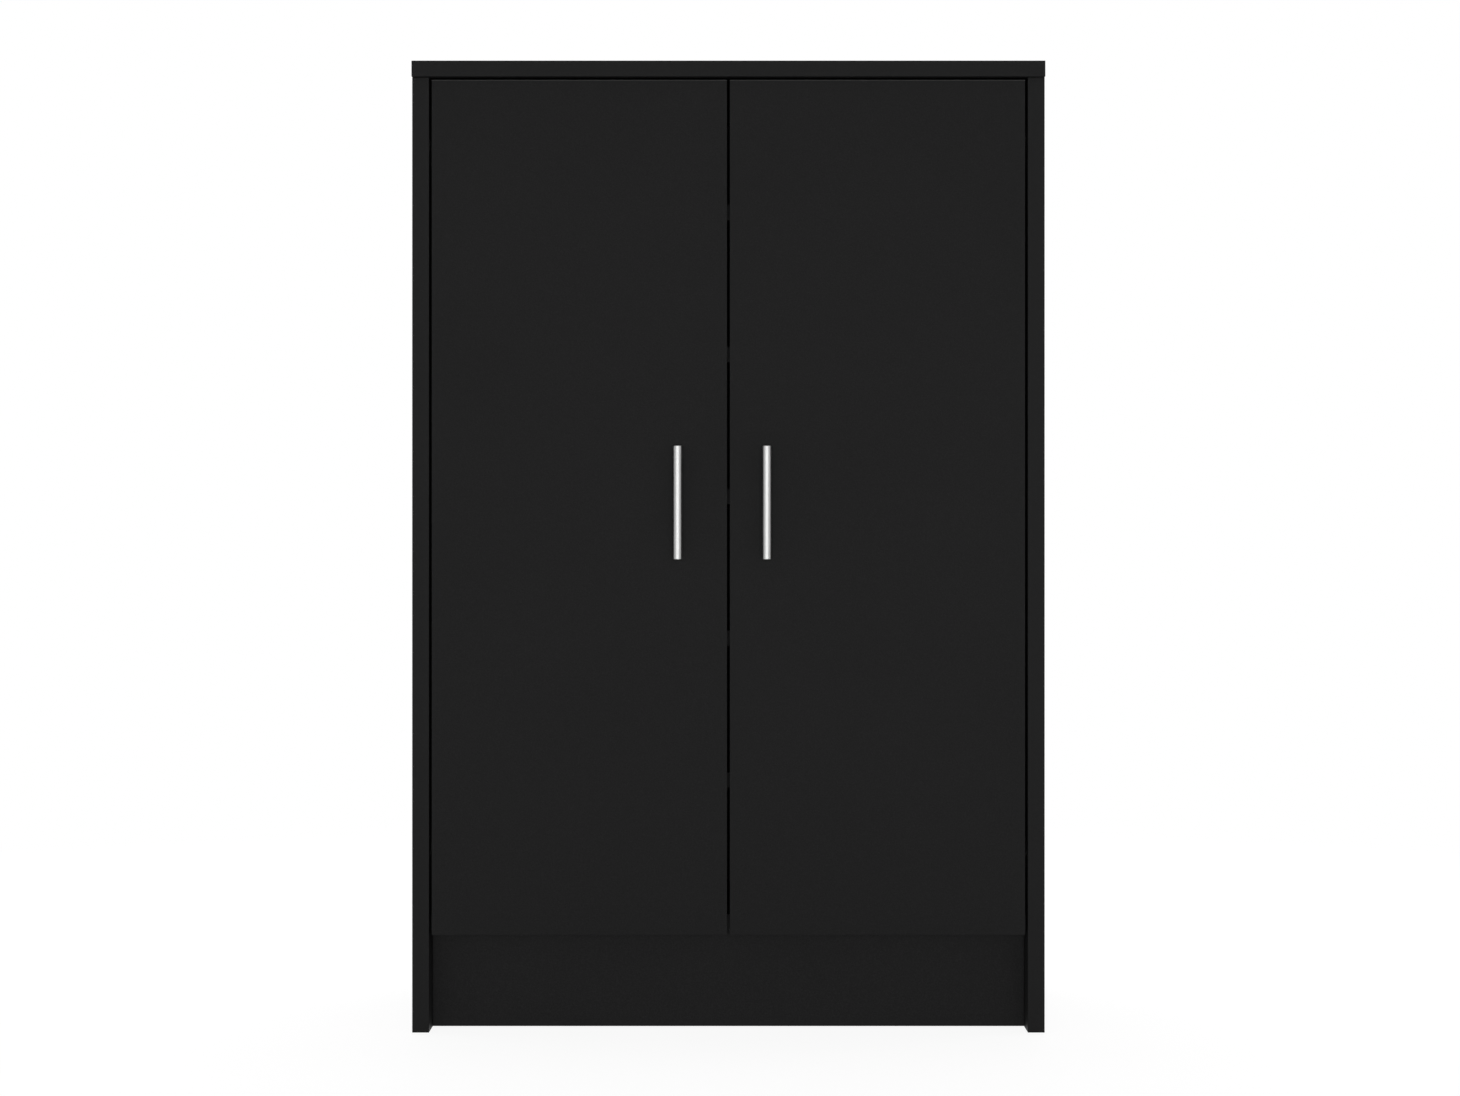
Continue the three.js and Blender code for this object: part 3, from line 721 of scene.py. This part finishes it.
def mottled(tree, uneven, colour, spread, share=1.0):
    """A share of a colour, which goes from darker to paler as a value goes from 0 to 1."""
    dark, pale = scaled(colour, share * (1 - spread)), scaled(colour, share * (1 + spread))
    return mixed_colour(tree, uneven, dark, pale)


def board_material(settings, name, node, black, band_black_and_painted_light, raw=(), banded=(), highlit_arris=()):
    """Black melamine board.

    raw and banded say which ways its raw and its banded edges face; the last argument names the
    two faces that meet in the edge given a painted highlight, a pale line in the colour.
    """
    material, tree, shader = new_material(name)
    pearl = use_group(tree, "pearl_texture", Scale=1 / settings.grain)
    height = pearl["Height"]
    # The colour follows the pearl texture's height, darker in its dips and paler on its rises:
    # painted shading of the texture.
    pressed = ramp(tree, height, *PRESSED)
    colour = mottled(tree, pressed, black, FOIL_DIP_SHADE)
    dull = settings.foil_roughness
    uneven = ramp(tree, pearl["Gloss"], *UNEVEN)
    rough = mixed_value(tree, uneven, dull - FOIL_SPREAD, dull + FOIL_SPREAD)
    if banded:
        mask = near_faces(tree, node, banded, settings.band_thickness)
        colour = mixed_colour(tree, mask, colour, mottled(tree, pressed, band_black_and_painted_light, BAND_DIP_SHADE))
        rough = mixed_value(tree, mask, rough, settings.band_roughness)
        height = mixed_value(tree, mask, height, math_node(tree, "MULTIPLY", height, BAND_RELIEF))
    # Painted highlight: where the two named faces meet, the colour turns pale grey, for the light
    # caught by the arris.
    if highlit_arris:
        first, second = (near_faces(tree, node, [way], settings.arris_highlight_width) for way in highlit_arris)
        grey = mottled(tree, pressed, settings.arris_highlight_grey, HIGHLIGHT_DIP_SHADE)
        colour = mixed_colour(tree, math_node(tree, "MINIMUM", first, second), colour, grey)
    if raw:
        mask = near_faces(tree, node, raw, RAW_INSET)
        light, dark = scaled(settings.chip_light), scaled(settings.chip_dark)
        chips = use_group(tree, "pressed_chips", Light=light, Dark=dark)
        colour = mixed_colour(tree, mask, colour, chips["Color"])
        rough = mixed_value(tree, mask, rough, RAW_ROUGHNESS)
        coarse = math_node(tree, "MULTIPLY", chips["Height"], CHIP_RELIEF)
        height = mixed_value(tree, mask, height, coarse)
    tree.links.new(colour, shader.inputs["Base Color"])
    tree.links.new(rough, shader.inputs["Roughness"])
    relief(tree, shader, height, strength=0.5, depth=FOIL_BUMP)
    shader.inputs["Specular IOR Level"].default_value = settings.sheen
    return material


def hardboard_material(settings):
    """Hardboard: black foil on its inner face and bare pressed fibre behind."""
    material, tree, shader = new_material("hardboard")
    rear = near_faces(tree, "back_panel", [BACK], FIBRE_THICKNESS)
    pearl = use_group(tree, "pearl_texture", Scale=1 / settings.grain)
    cloudy = ramp(tree, pearl["Gloss"], *CLOUDY)
    light = mottled(tree, cloudy, settings.fibre, FIBRE_MOTTLE, share=1.25)
    dark = mottled(tree, cloudy, settings.fibre, FIBRE_MOTTLE, share=0.7)
    fibre = use_group(tree, "pressed_chips", Light=light, Dark=dark, Chip_Scale=900.0)
    # The foil's colour follows the pearl texture's height, darker in its dips and paler on its
    # rises: painted shading of the texture.
    black = mottled(tree, ramp(tree, pearl["Height"], *PRESSED), settings.black, FOIL_DIP_SHADE)
    rough = mixed_value(tree, rear, settings.foil_roughness, FIBRE_ROUGHNESS)
    height = mixed_value(tree, rear, pearl["Height"], fibre["Height"])
    colour = mixed_colour(tree, rear, black, fibre["Color"])
    tree.links.new(colour, shader.inputs["Base Color"])
    tree.links.new(rough, shader.inputs["Roughness"])
    relief(tree, shader, height, strength=0.4, depth=0.5 * FOIL_BUMP)
    shader.inputs["Specular IOR Level"].default_value = FIBRE_SHEEN
    return material


def metal_material(name, colour, roughness, spread, stretch, line_depth):
    """Plated, cast or turned metal with fine tool lines, packed closer the more it is stretched."""
    material, tree, shader = new_material(name)
    lines = use_group(tree, "tool_lines", Stretch=stretch)
    uneven = ramp(tree, lines["Gloss"], *UNEVEN)
    gloss = mixed_value(tree, uneven, roughness - spread, roughness + spread)
    tree.links.new(gloss, shader.inputs["Roughness"])
    tree.links.new(mottled(tree, uneven, colour, METAL_MOTTLE), shader.inputs["Base Color"])
    relief(tree, shader, lines["Height"], strength=0.3, depth=line_depth)
    shader.inputs["Metallic"].default_value = 1.0
    return material


# ---------------------------------------------------------------- boards


class CABINET_OT_finish_boards(bpy.types.Operator):
    """Give the boards their black foil, banded edges and raw edges"""

    bl_idname = "cabinet.finish_boards"
    bl_label = "Finish Boards"

    def execute(self, context):
        settings = context.scene.cabinet.boards
        all_round = (LEFT, RIGHT, DOWN, UP)
        boards = {
            "side_panel_left": {"raw": (BACK, DOWN, UP), "banded": (FRONT,)},
            "side_panel_right": {"raw": (BACK, DOWN, UP), "banded": (FRONT,)},
            "top_panel": {"raw": (BACK,), "banded": (FRONT, LEFT, RIGHT)},
            "bottom_panel": {"raw": (BACK,), "banded": (FRONT,)},
            "plinth": {"raw": (DOWN,)},
            # Each door's top front edge gets a painted highlight.
            "door_left": {"banded": all_round, "highlit_arris": (UP, FRONT)},
            "door_right": {"banded": all_round, "highlit_arris": (UP, FRONT)},
        }
        for number in SHELVES:
            boards[f"shelf_{number}"] = {"raw": (LEFT, RIGHT, BACK), "banded": (FRONT,)}
        for node, edges in boards.items():
            # The plinth's paler black is painted light against the shade of its recess.
            black = settings.plinth_black_with_painted_light if node == "plinth" else settings.black
            # The bottom board and the shelves, seen through the gap between the doors, get the
            # paler band as painted light; the other boards keep the plain black band.
            inside = node == "bottom_panel" or node.startswith("shelf")
            band_black_and_painted_light = settings.shelf_band_painted_light if inside else settings.black
            name = f"melamine_{node}"
            self.finish(node, board_material(settings, name, node, black, band_black_and_painted_light, **edges))
        self.finish("back_panel", hardboard_material(settings))
        return {"FINISHED"}

    def finish(self, node, material):
        """Give a CAD board its material."""
        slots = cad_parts[node].data.materials
        slots.clear()
        slots.append(material)


# ---------------------------------------------------------------- handles


class CABINET_OT_make_handles(bpy.types.Operator):
    """Turn the two handle bars and fit their posts"""

    bl_idname = "cabinet.make_handles"
    bl_label = "Make Handles"

    def execute(self, context):
        settings = context.scene.cabinet.handles
        nickel = metal_material(
            "satin_nickel", settings.nickel, settings.roughness, spread=0.012,
            stretch=(60.0, 60.0, 4000.0), line_depth=0.004 * MM,
        )
        for hand in HANDS:
            node = f"handle_bar_{hand}"
            low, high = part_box(node)
            radius = (high.x - low.x) / 2
            bar = add_cylinder(radius, high.z - low.z, centre_of(node), settings.sides)
            round_edges(bar, settings.end_rounding, segments=4)
            shade(bar)
            settle(bar, f"bar_{hand}", f"{hand}_door", nickel, [node])
            for level in LEVELS:
                self.fit_post(settings, nickel, hand, level, radius)
        return {"FINISHED"}

    def fit_post(self, settings, nickel, hand, level, bar_radius):
        """A round post from the door to the bar, cut to a saddle that fits the bar."""
        node = f"handle_post_{hand}_{level}"
        bar_centre = centre_of(f"handle_bar_{hand}")
        low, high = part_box(node)
        centre = centre_of(node)
        length = high.y - bar_centre.y
        middle = Vector((centre.x, high.y - length / 2, centre.z))
        post = add_cylinder((high.x - low.x) / 2, length, middle, settings.sides // 2, BACK)
        round_edges(post, POST_ROUNDING, segments=3)
        saddle_centre = Vector((bar_centre.x, bar_centre.y, centre.z))
        saddle_radius = bar_radius + settings.saddle_gap
        saddle = add_cylinder(saddle_radius, 4 * bar_radius, saddle_centre, settings.sides)
        cut_with(post, saddle)
        shade(post)
        settle(post, f"post_{hand}_{level}", f"{hand}_door", nickel, [node])


# ---------------------------------------------------------------- screws


def cross_headed(head_radius, head_height, shank_radius, shank_length, recess):
    """A pan-headed screw with a cross recess, its shank along -Z and its head's seat at Z 0."""
    head = add_cylinder(head_radius, head_height, UP * head_height / 2, SCREW_SIDES)
    edit(head)
    select_top(head)
    dome = head_height * HEAD_DOME
    bpy.ops.mesh.bevel(offset=dome, segments=5, affect="EDGES", profile=0.6)
    leave_edit()
    for long, narrow in ((1.0, CROSS_WIDTH), (CROSS_WIDTH, 1.0)):
        size = (2 * recess * long, 2 * recess * narrow, head_height)
        cut_with(head, add_box(size, UP * head_height * CROSS_HEIGHT))
    middle = DOWN * (shank_length / 2 - SHANK_OVERLAP)
    shank = add_cylinder(shank_radius, shank_length, middle, SHANK_SIDES)
    select_only(head, shank)
    bpy.ops.object.join()
    round_edges(head, SCREW_ROUNDING, segments=1, angle=50)
    shade(head, angle=30)
    return head


class CABINET_OT_make_screws(bpy.types.Operator):
    """Fit the handle screws and all the hinge screws"""

    bl_idname = "cabinet.make_screws"
    bl_label = "Make Screws"

    def execute(self, context):
        settings = context.scene.cabinet.fittings
        zinc = metal_material(
            "zinc_plate", settings.zinc, roughness=0.38, spread=0.05,
            stretch=(900.0, 900.0, 900.0), line_depth=0.01 * MM,
        )
        self.handle_screws(zinc)
        self.hinge_screws(settings, zinc)
        return {"FINISHED"}

    def handle_screws(self, zinc):
        """Screws from inside the doors into the handle posts."""
        low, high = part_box("handle_screw_left_lower")
        door_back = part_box("door_left")[1].y
        head_height = high.y - door_back
        pattern = cross_headed(
            (high.x - low.x) / 2, head_height, THREAD_RADIUS, door_back - low.y, HANDLE_CROSS,
        )
        for hand, level in PLACES:
            node = f"handle_screw_{hand}_{level}"
            centre = centre_of(node)
            place = facing(BACK, (centre.x, door_back + SCREW_LIFT, centre.z))
            screw = copied(pattern, f"screw_{hand}_{level}", place)
            settle(screw, screw.name, f"{hand}_door", zinc, [node])
        bpy.data.objects.remove(pattern)

    def hinge_screws(self, settings, zinc):
        """Two screws through each cup's flange, two through each plate, two in each arm."""
        radius = settings.screw_head_radius
        recess = HINGE_CROSS * radius
        cup_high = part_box("hinge_cup_left_upper")[1]
        flange_y = (hinge_place("left", "upper").inverted() @ cup_high).y
        wood = cross_headed(
            radius, head_height=1.7 * MM, shank_radius=1.7 * MM,
            shank_length=SCREW_SHANK, recess=recess,
        )
        large = cross_headed(
            LARGE_HEAD * radius, head_height=2.1 * MM, shank_radius=1.8 * MM,
            shank_length=SCREW_SHANK, recess=recess,
        )
        spots = []
        for sign in (-1, 1):
            spots.append(("cup", wood, BACK, (FLANGE_SCREW_X, flange_y, sign * FLANGE_SCREW_Z)))
            spots.append(("plate", wood, RIGHT, (PLATE_FACE, PLATE_SETBACK, sign * PLATE_SCREW_Z)))
        spots.append(("clamp", large, RIGHT, (ARM_FACE, CLAMP_SCREW_Y, 0)))
        spots.append(("adjuster", large, RIGHT, (ARM_FACE, ADJUSTER_Y, 0)))
        for hand, level in PLACES:
            for index, (kind, pattern, way, at) in enumerate(spots):
                place = hinge_place(hand, level) @ facing(way, at)
                screw = copied(pattern, f"hinge_screw_{kind}_{hand}_{level}_{index}", place)
                body = f"{hand}_door" if kind == "cup" else "carcase"
                settle(screw, screw.name, body, zinc)
        bpy.data.objects.remove(wood)
        bpy.data.objects.remove(large)


# ---------------------------------------------------------------- hinges


class CABINET_OT_finish_hinges(bpy.types.Operator):
    """Round off and plate the four concealed hinges"""

    bl_idname = "cabinet.finish_hinges"
    bl_label = "Finish Hinges"

    def execute(self, context):
        settings = context.scene.cabinet.fittings
        steel = metal_material(
            "hinge_plating", settings.hinge_steel, roughness=0.42, spread=0.05,
            stretch=(300.0, 300.0, 300.0), line_depth=0.01 * MM,
        )
        for hand, level in PLACES:
            for kind, width in HINGE_ROUNDING.items():
                node = f"hinge_{kind}_{hand}_{level}"
                piece = refined(node)
                round_edges(piece, width)
                shade(piece)
                body = f"{hand}_door" if kind == "cup" else "carcase"
                settle(piece, f"{kind}_{hand}_{level}", body, steel, [node])
            node = f"hinge_pin_{hand}_{level}"
            low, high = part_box(node)
            radius = (high.x - low.x) / 2
            pin = add_cylinder(radius, high.z - low.z, centre_of(node), SCREW_SIDES)
            round_edges(pin, AXLE_ROUNDING)
            shade(pin)
            settle(pin, f"axle_{hand}_{level}", f"{hand}_door", steel, [node])
        return {"FINISHED"}


# ---------------------------------------------------------------- shelf pins


class CABINET_OT_make_shelf_pins(bpy.types.Operator):
    """Turn one shelf pin and fit a copy in each hole"""

    bl_idname = "cabinet.make_shelf_pins"
    bl_label = "Make Shelf Pins"

    def execute(self, context):
        zinc = metal_material(
            "pin_plate", context.scene.cabinet.fittings.zinc, roughness=0.34, spread=0.05,
            stretch=(500.0, 500.0, 500.0), line_depth=0.01 * MM,
        )
        low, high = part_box("shelf_pin_1_left_front")
        collar_radius = (high.z - low.z) / 2
        collar = add_cylinder(collar_radius, COLLAR_THICKNESS, UP * COLLAR_MIDDLE, SCREW_SIDES)
        pattern = add_cylinder(PIN_RADIUS, high.x - low.x, DOWN * PIN_MIDDLE, SCREW_SIDES)
        select_only(pattern, collar)
        bpy.ops.object.join()
        round_edges(pattern, PIN_ROUNDING, segments=3)
        shade(pattern)
        for number, hand, row in product(SHELVES, HANDS, ("front", "back")):
            node = f"shelf_pin_{number}_{hand}_{row}"
            centre = centre_of(node)
            place = facing(inward(hand), (inner_x(hand), centre.y, centre.z))
            pin = copied(pattern, f"pin_{number}_{hand}_{row}", place)
            settle(pin, pin.name, "carcase", zinc, [node])
        bpy.data.objects.remove(pattern)
        return {"FINISHED"}


# ---------------------------------------------------------------- cam locks


class CABINET_OT_make_cams(bpy.types.Operator):
    """Fit the cam locks that draw the boards together"""

    bl_idname = "cabinet.make_cams"
    bl_label = "Make Cam Locks"

    def execute(self, context):
        settings = context.scene.cabinet.fittings
        cast = metal_material(
            "cast_zinc", settings.cast_zinc, roughness=0.5, spread=0.06,
            stretch=(700.0, 700.0, 700.0), line_depth=0.03 * MM,
        )
        pattern = self.cam(settings.cam_radius)
        for name, way, at in self.spots():
            cam = copied(pattern, f"cam_{name}", facing(way, at))
            settle(cam, cam.name, "carcase", cast)
        bpy.data.objects.remove(pattern)
        return {"FINISHED"}

    def cam(self, radius):
        """A cam lock with a sunk face and a cross slot, its face at Z 0."""
        cam = add_cylinder(radius, CAM_DEPTH, DOWN * CAM_DEPTH / 2, CAM_SIDES)
        edit(cam)
        select_top(cam)
        bpy.ops.mesh.inset(thickness=radius * CAM_RIM)
        bpy.ops.transform.translate(value=DOWN * CAM_FACE)
        leave_edit()
        for width, depth in CAM_SLOTS:
            size = (radius * width, radius * depth, CUTTER_HEIGHT)
            cut_with(cam, add_box(size, DOWN * CUTTER_DEPTH))
        round_edges(cam, CAM_ROUNDING)
        shade(cam)
        return cam

    def spots(self):
        """Name, direction and place of each cam lock."""
        side_low, side_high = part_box("side_panel_left")
        board_low, board_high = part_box("bottom_panel")
        plinth_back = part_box("plinth")[1].y
        rear_y = side_high.y - CAM_FROM_BACK
        spots = []
        for hand in HANDS:
            way = inward(hand)
            wall = inner_x(hand) - way.x * CAM_SUNK
            x = board_low.x + CAM_FROM_END if hand == "left" else board_high.x - CAM_FROM_END
            for row, y in (("front", side_low.y + CAM_FROM_FRONT), ("back", rear_y)):
                spots.append((f"side_{hand}_{row}", way, (wall, y, side_high.z - CAM_FROM_END)))
            for row, y in (("front", plinth_back + CAM_BEHIND_PLINTH), ("back", rear_y)):
                spots.append((f"bottom_{hand}_{row}", DOWN, (x, y, board_low.z + CAM_SUNK)))
            at = (x, plinth_back - CAM_SUNK, centre_of("plinth").z)
            spots.append((f"plinth_{hand}", BACK, at))
        return spots


# ---------------------------------------------------------------- nails


class CABINET_OT_make_nails(bpy.types.Operator):
    """Nail the back panel to the sides and the bottom board"""

    bl_idname = "cabinet.make_nails"
    bl_label = "Make Nails"

    def execute(self, context):
        settings = context.scene.cabinet.fittings
        bright = metal_material(
            "nail_steel", settings.nail_steel, roughness=0.45, spread=0.06,
            stretch=(900.0, 900.0, 900.0), line_depth=0.01 * MM,
        )
        head = add_cylinder(settings.nail_radius, NAIL_THICKNESS, UP * NAIL_LIFT, NAIL_SIDES)
        edit(head)
        select_top(head)
        bpy.ops.mesh.bevel(offset=NAIL_ROUNDING, segments=3, affect="EDGES")
        leave_edit()
        shade(head, angle=40)
        low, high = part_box("back_panel")
        first, last = low.z + NAIL_FROM_CORNER, high.z - NAIL_FROM_CORNER
        pitch = (last - first) / (settings.nail_count - 1)
        column = [first + pitch * step for step in range(settings.nail_count)]
        spots = [(side * (high.x - NAIL_FROM_SIDE), z) for side in (-1, 1) for z in column]
        spots += [(x, low.z + NAIL_FROM_BOTTOM) for x in BOTTOM_NAILS]
        for index, (x, z) in enumerate(spots):
            nail = copied(head, f"nail_{index + 1}", facing(BACK, (x, high.y, z)))
            settle(nail, nail.name, "carcase", bright)
        bpy.data.objects.remove(head)
        return {"FINISHED"}


# ---------------------------------------------------------------- studio


def seen_directly(tree):
    """1 for what is seen directly, in a reflection or through glass, and 0 for light that falls."""
    path = add_node(tree, "ShaderNodeLightPath").outputs
    mirrored = math_node(tree, "MAXIMUM", path["Is Glossy Ray"], path["Is Transmission Ray"])
    return math_node(tree, "MAXIMUM", path["Is Camera Ray"], mirrored)


def mixed_shader(tree, share, first, second):
    """A mix of two shaders."""
    inputs = {0: share, 1: first.outputs[0], 2: second.outputs[0]}
    return add_node(tree, "ShaderNodeMixShader", inputs).outputs[0]


class CABINET_OT_set_stage(bpy.types.Operator):
    """Set up the floor, the white background, the lamps and the camera"""

    bl_idname = "cabinet.set_stage"
    bl_label = "Set Stage"

    def execute(self, context):
        settings = context.scene.cabinet.stage
        scene = context.scene
        scene.view_settings.view_transform = "Standard"
        self.floor(settings)
        self.background(scene, settings)
        self.lamps(settings)
        self.camera(scene, settings)
        return {"FINISHED"}

    def floor(self, settings):
        """A plain floor that stays white but keeps the cabinet's shadow."""
        bpy.ops.object.select_all(action="DESELECT")
        bpy.ops.mesh.primitive_plane_add(size=settings.floor_size, location=DOWN * FLOOR_DROP)
        floor = bpy.context.object
        floor.name = "floor"
        material = bpy.data.materials.new("pale_floor")
        material.use_nodes = True
        tree = material.node_tree
        tree.nodes.clear()
        point = {0: object_point(tree)}
        distance = add_node(tree, "ShaderNodeVectorMath", point, operation="LENGTH")
        far = settings.shadow_reach
        near = ramp(tree, distance.outputs["Value"], low=far, high=FULL_SHADOW * far)
        strength = mixed_value(tree, near, 1.0, settings.white_floor)
        white = add_node(tree, "ShaderNodeEmission", {"Color": WHITE, "Strength": strength})
        painted = add_node(tree, "ShaderNodeBsdfDiffuse", {"Color": PALE_PAINT})
        shading = math_node(tree, "MULTIPLY", near, settings.shadow_share)
        kept = math_node(tree, "SUBTRACT", 1.0, shading)
        share = math_node(tree, "MULTIPLY", seen_directly(tree), kept)
        surface = mixed_shader(tree, share, painted, white)
        add_node(tree, "ShaderNodeOutputMaterial", {"Surface": surface})
        floor.data.materials.append(material)

    def background(self, scene, settings):
        """White where it is seen, and an even soft light where it falls on the cabinet."""
        world = bpy.data.worlds.new("studio")
        scene.world = world
        world.use_nodes = True
        tree = world.node_tree
        tree.nodes.clear()
        white = add_node(tree, "ShaderNodeBackground", {"Color": WHITE, "Strength": 1.0})
        ambient = {"Color": WHITE, "Strength": settings.ambient}
        soft = add_node(tree, "ShaderNodeBackground", ambient)
        surface = mixed_shader(tree, seen_directly(tree), soft, white)
        add_node(tree, "ShaderNodeOutputWorld", {"Surface": surface})

    def lamps(self, settings):
        """Soft lamps on all sides; the front one is never mirrored, and the sheet only is."""
        for name, (power, at, (width, height)) in LAMPS.items():
            bpy.ops.object.select_all(action="DESELECT")
            bpy.ops.object.light_add(type="AREA", location=at)
            lamp = bpy.context.object
            lamp.name = f"{name}_light"
            lamp.data.shape = "RECTANGLE"
            lamp.data.energy = getattr(settings, power)
            lamp.data.size = width
            lamp.data.size_y = height
            lamp.rotation_euler = (LIT_POINT - Vector(at)).to_track_quat("-Z", "Y").to_euler()
            lamp.visible_glossy = name != "front"
            lamp.visible_diffuse = name != "sheet"

    def camera(self, scene, settings):
        """A level camera in front of the doors."""
        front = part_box("top_panel")[0].y
        place = (settings.camera_aside, front - settings.camera_distance, settings.camera_height)
        bpy.ops.object.camera_add(location=place, rotation=(math.pi / 2, 0, 0))
        camera = bpy.context.object
        camera.data.sensor_width = 36
        camera.data.lens = settings.lens
        camera.data.clip_end = 100
        scene.camera = camera


# ---------------------------------------------------------------- panel and registration


STEPS = (
    CABINET_OT_set_stage,
    CABINET_OT_finish_boards,
    CABINET_OT_make_handles,
    CABINET_OT_make_screws,
    CABINET_OT_finish_hinges,
    CABINET_OT_make_shelf_pins,
    CABINET_OT_make_cams,
    CABINET_OT_make_nails,
)

EFFECTS = (make_beyond_plane, make_pearl, make_chipboard, make_tool_lines)


class CABINET_PT_steps(bpy.types.Panel):
    """The steps that finish the cabinet, and their settings"""

    bl_label = "Shoe Cabinet"
    bl_idname = "CABINET_PT_steps"
    bl_space_type = "VIEW_3D"
    bl_region_type = "UI"
    bl_category = "Shoe Cabinet"

    def draw(self, context):
        for step in STEPS:
            self.layout.operator(step.bl_idname)
        for group in ("boards", "handles", "fittings", "stage"):
            settings = getattr(context.scene.cabinet, group)
            box = self.layout.box()
            box.label(text=group.capitalize())
            for name in type(settings).__annotations__:
                box.prop(settings, name)


CLASSES = (
    BoardSettings,
    HandleSettings,
    FittingSettings,
    StageSettings,
    CabinetSettings,
    *STEPS,
    CABINET_PT_steps,
)


def register():
    for one in CLASSES:
        bpy.utils.register_class(one)
    bpy.types.Scene.cabinet = PointerProperty(type=CabinetSettings)


def unregister():
    del bpy.types.Scene.cabinet
    for one in reversed(CLASSES):
        bpy.utils.unregister_class(one)


def main():
    """Finish the whole cabinet."""
    register()
    bpy.ops.object.select_all(action="DESELECT")
    for make in EFFECTS:
        make()
    bpy.ops.cabinet.set_stage()
    bpy.ops.cabinet.finish_boards()
    bpy.ops.cabinet.make_handles()
    bpy.ops.cabinet.make_screws()
    bpy.ops.cabinet.finish_hinges()
    bpy.ops.cabinet.make_shelf_pins()
    bpy.ops.cabinet.make_cams()
    bpy.ops.cabinet.make_nails()


if __name__ == "__main__":
    main()
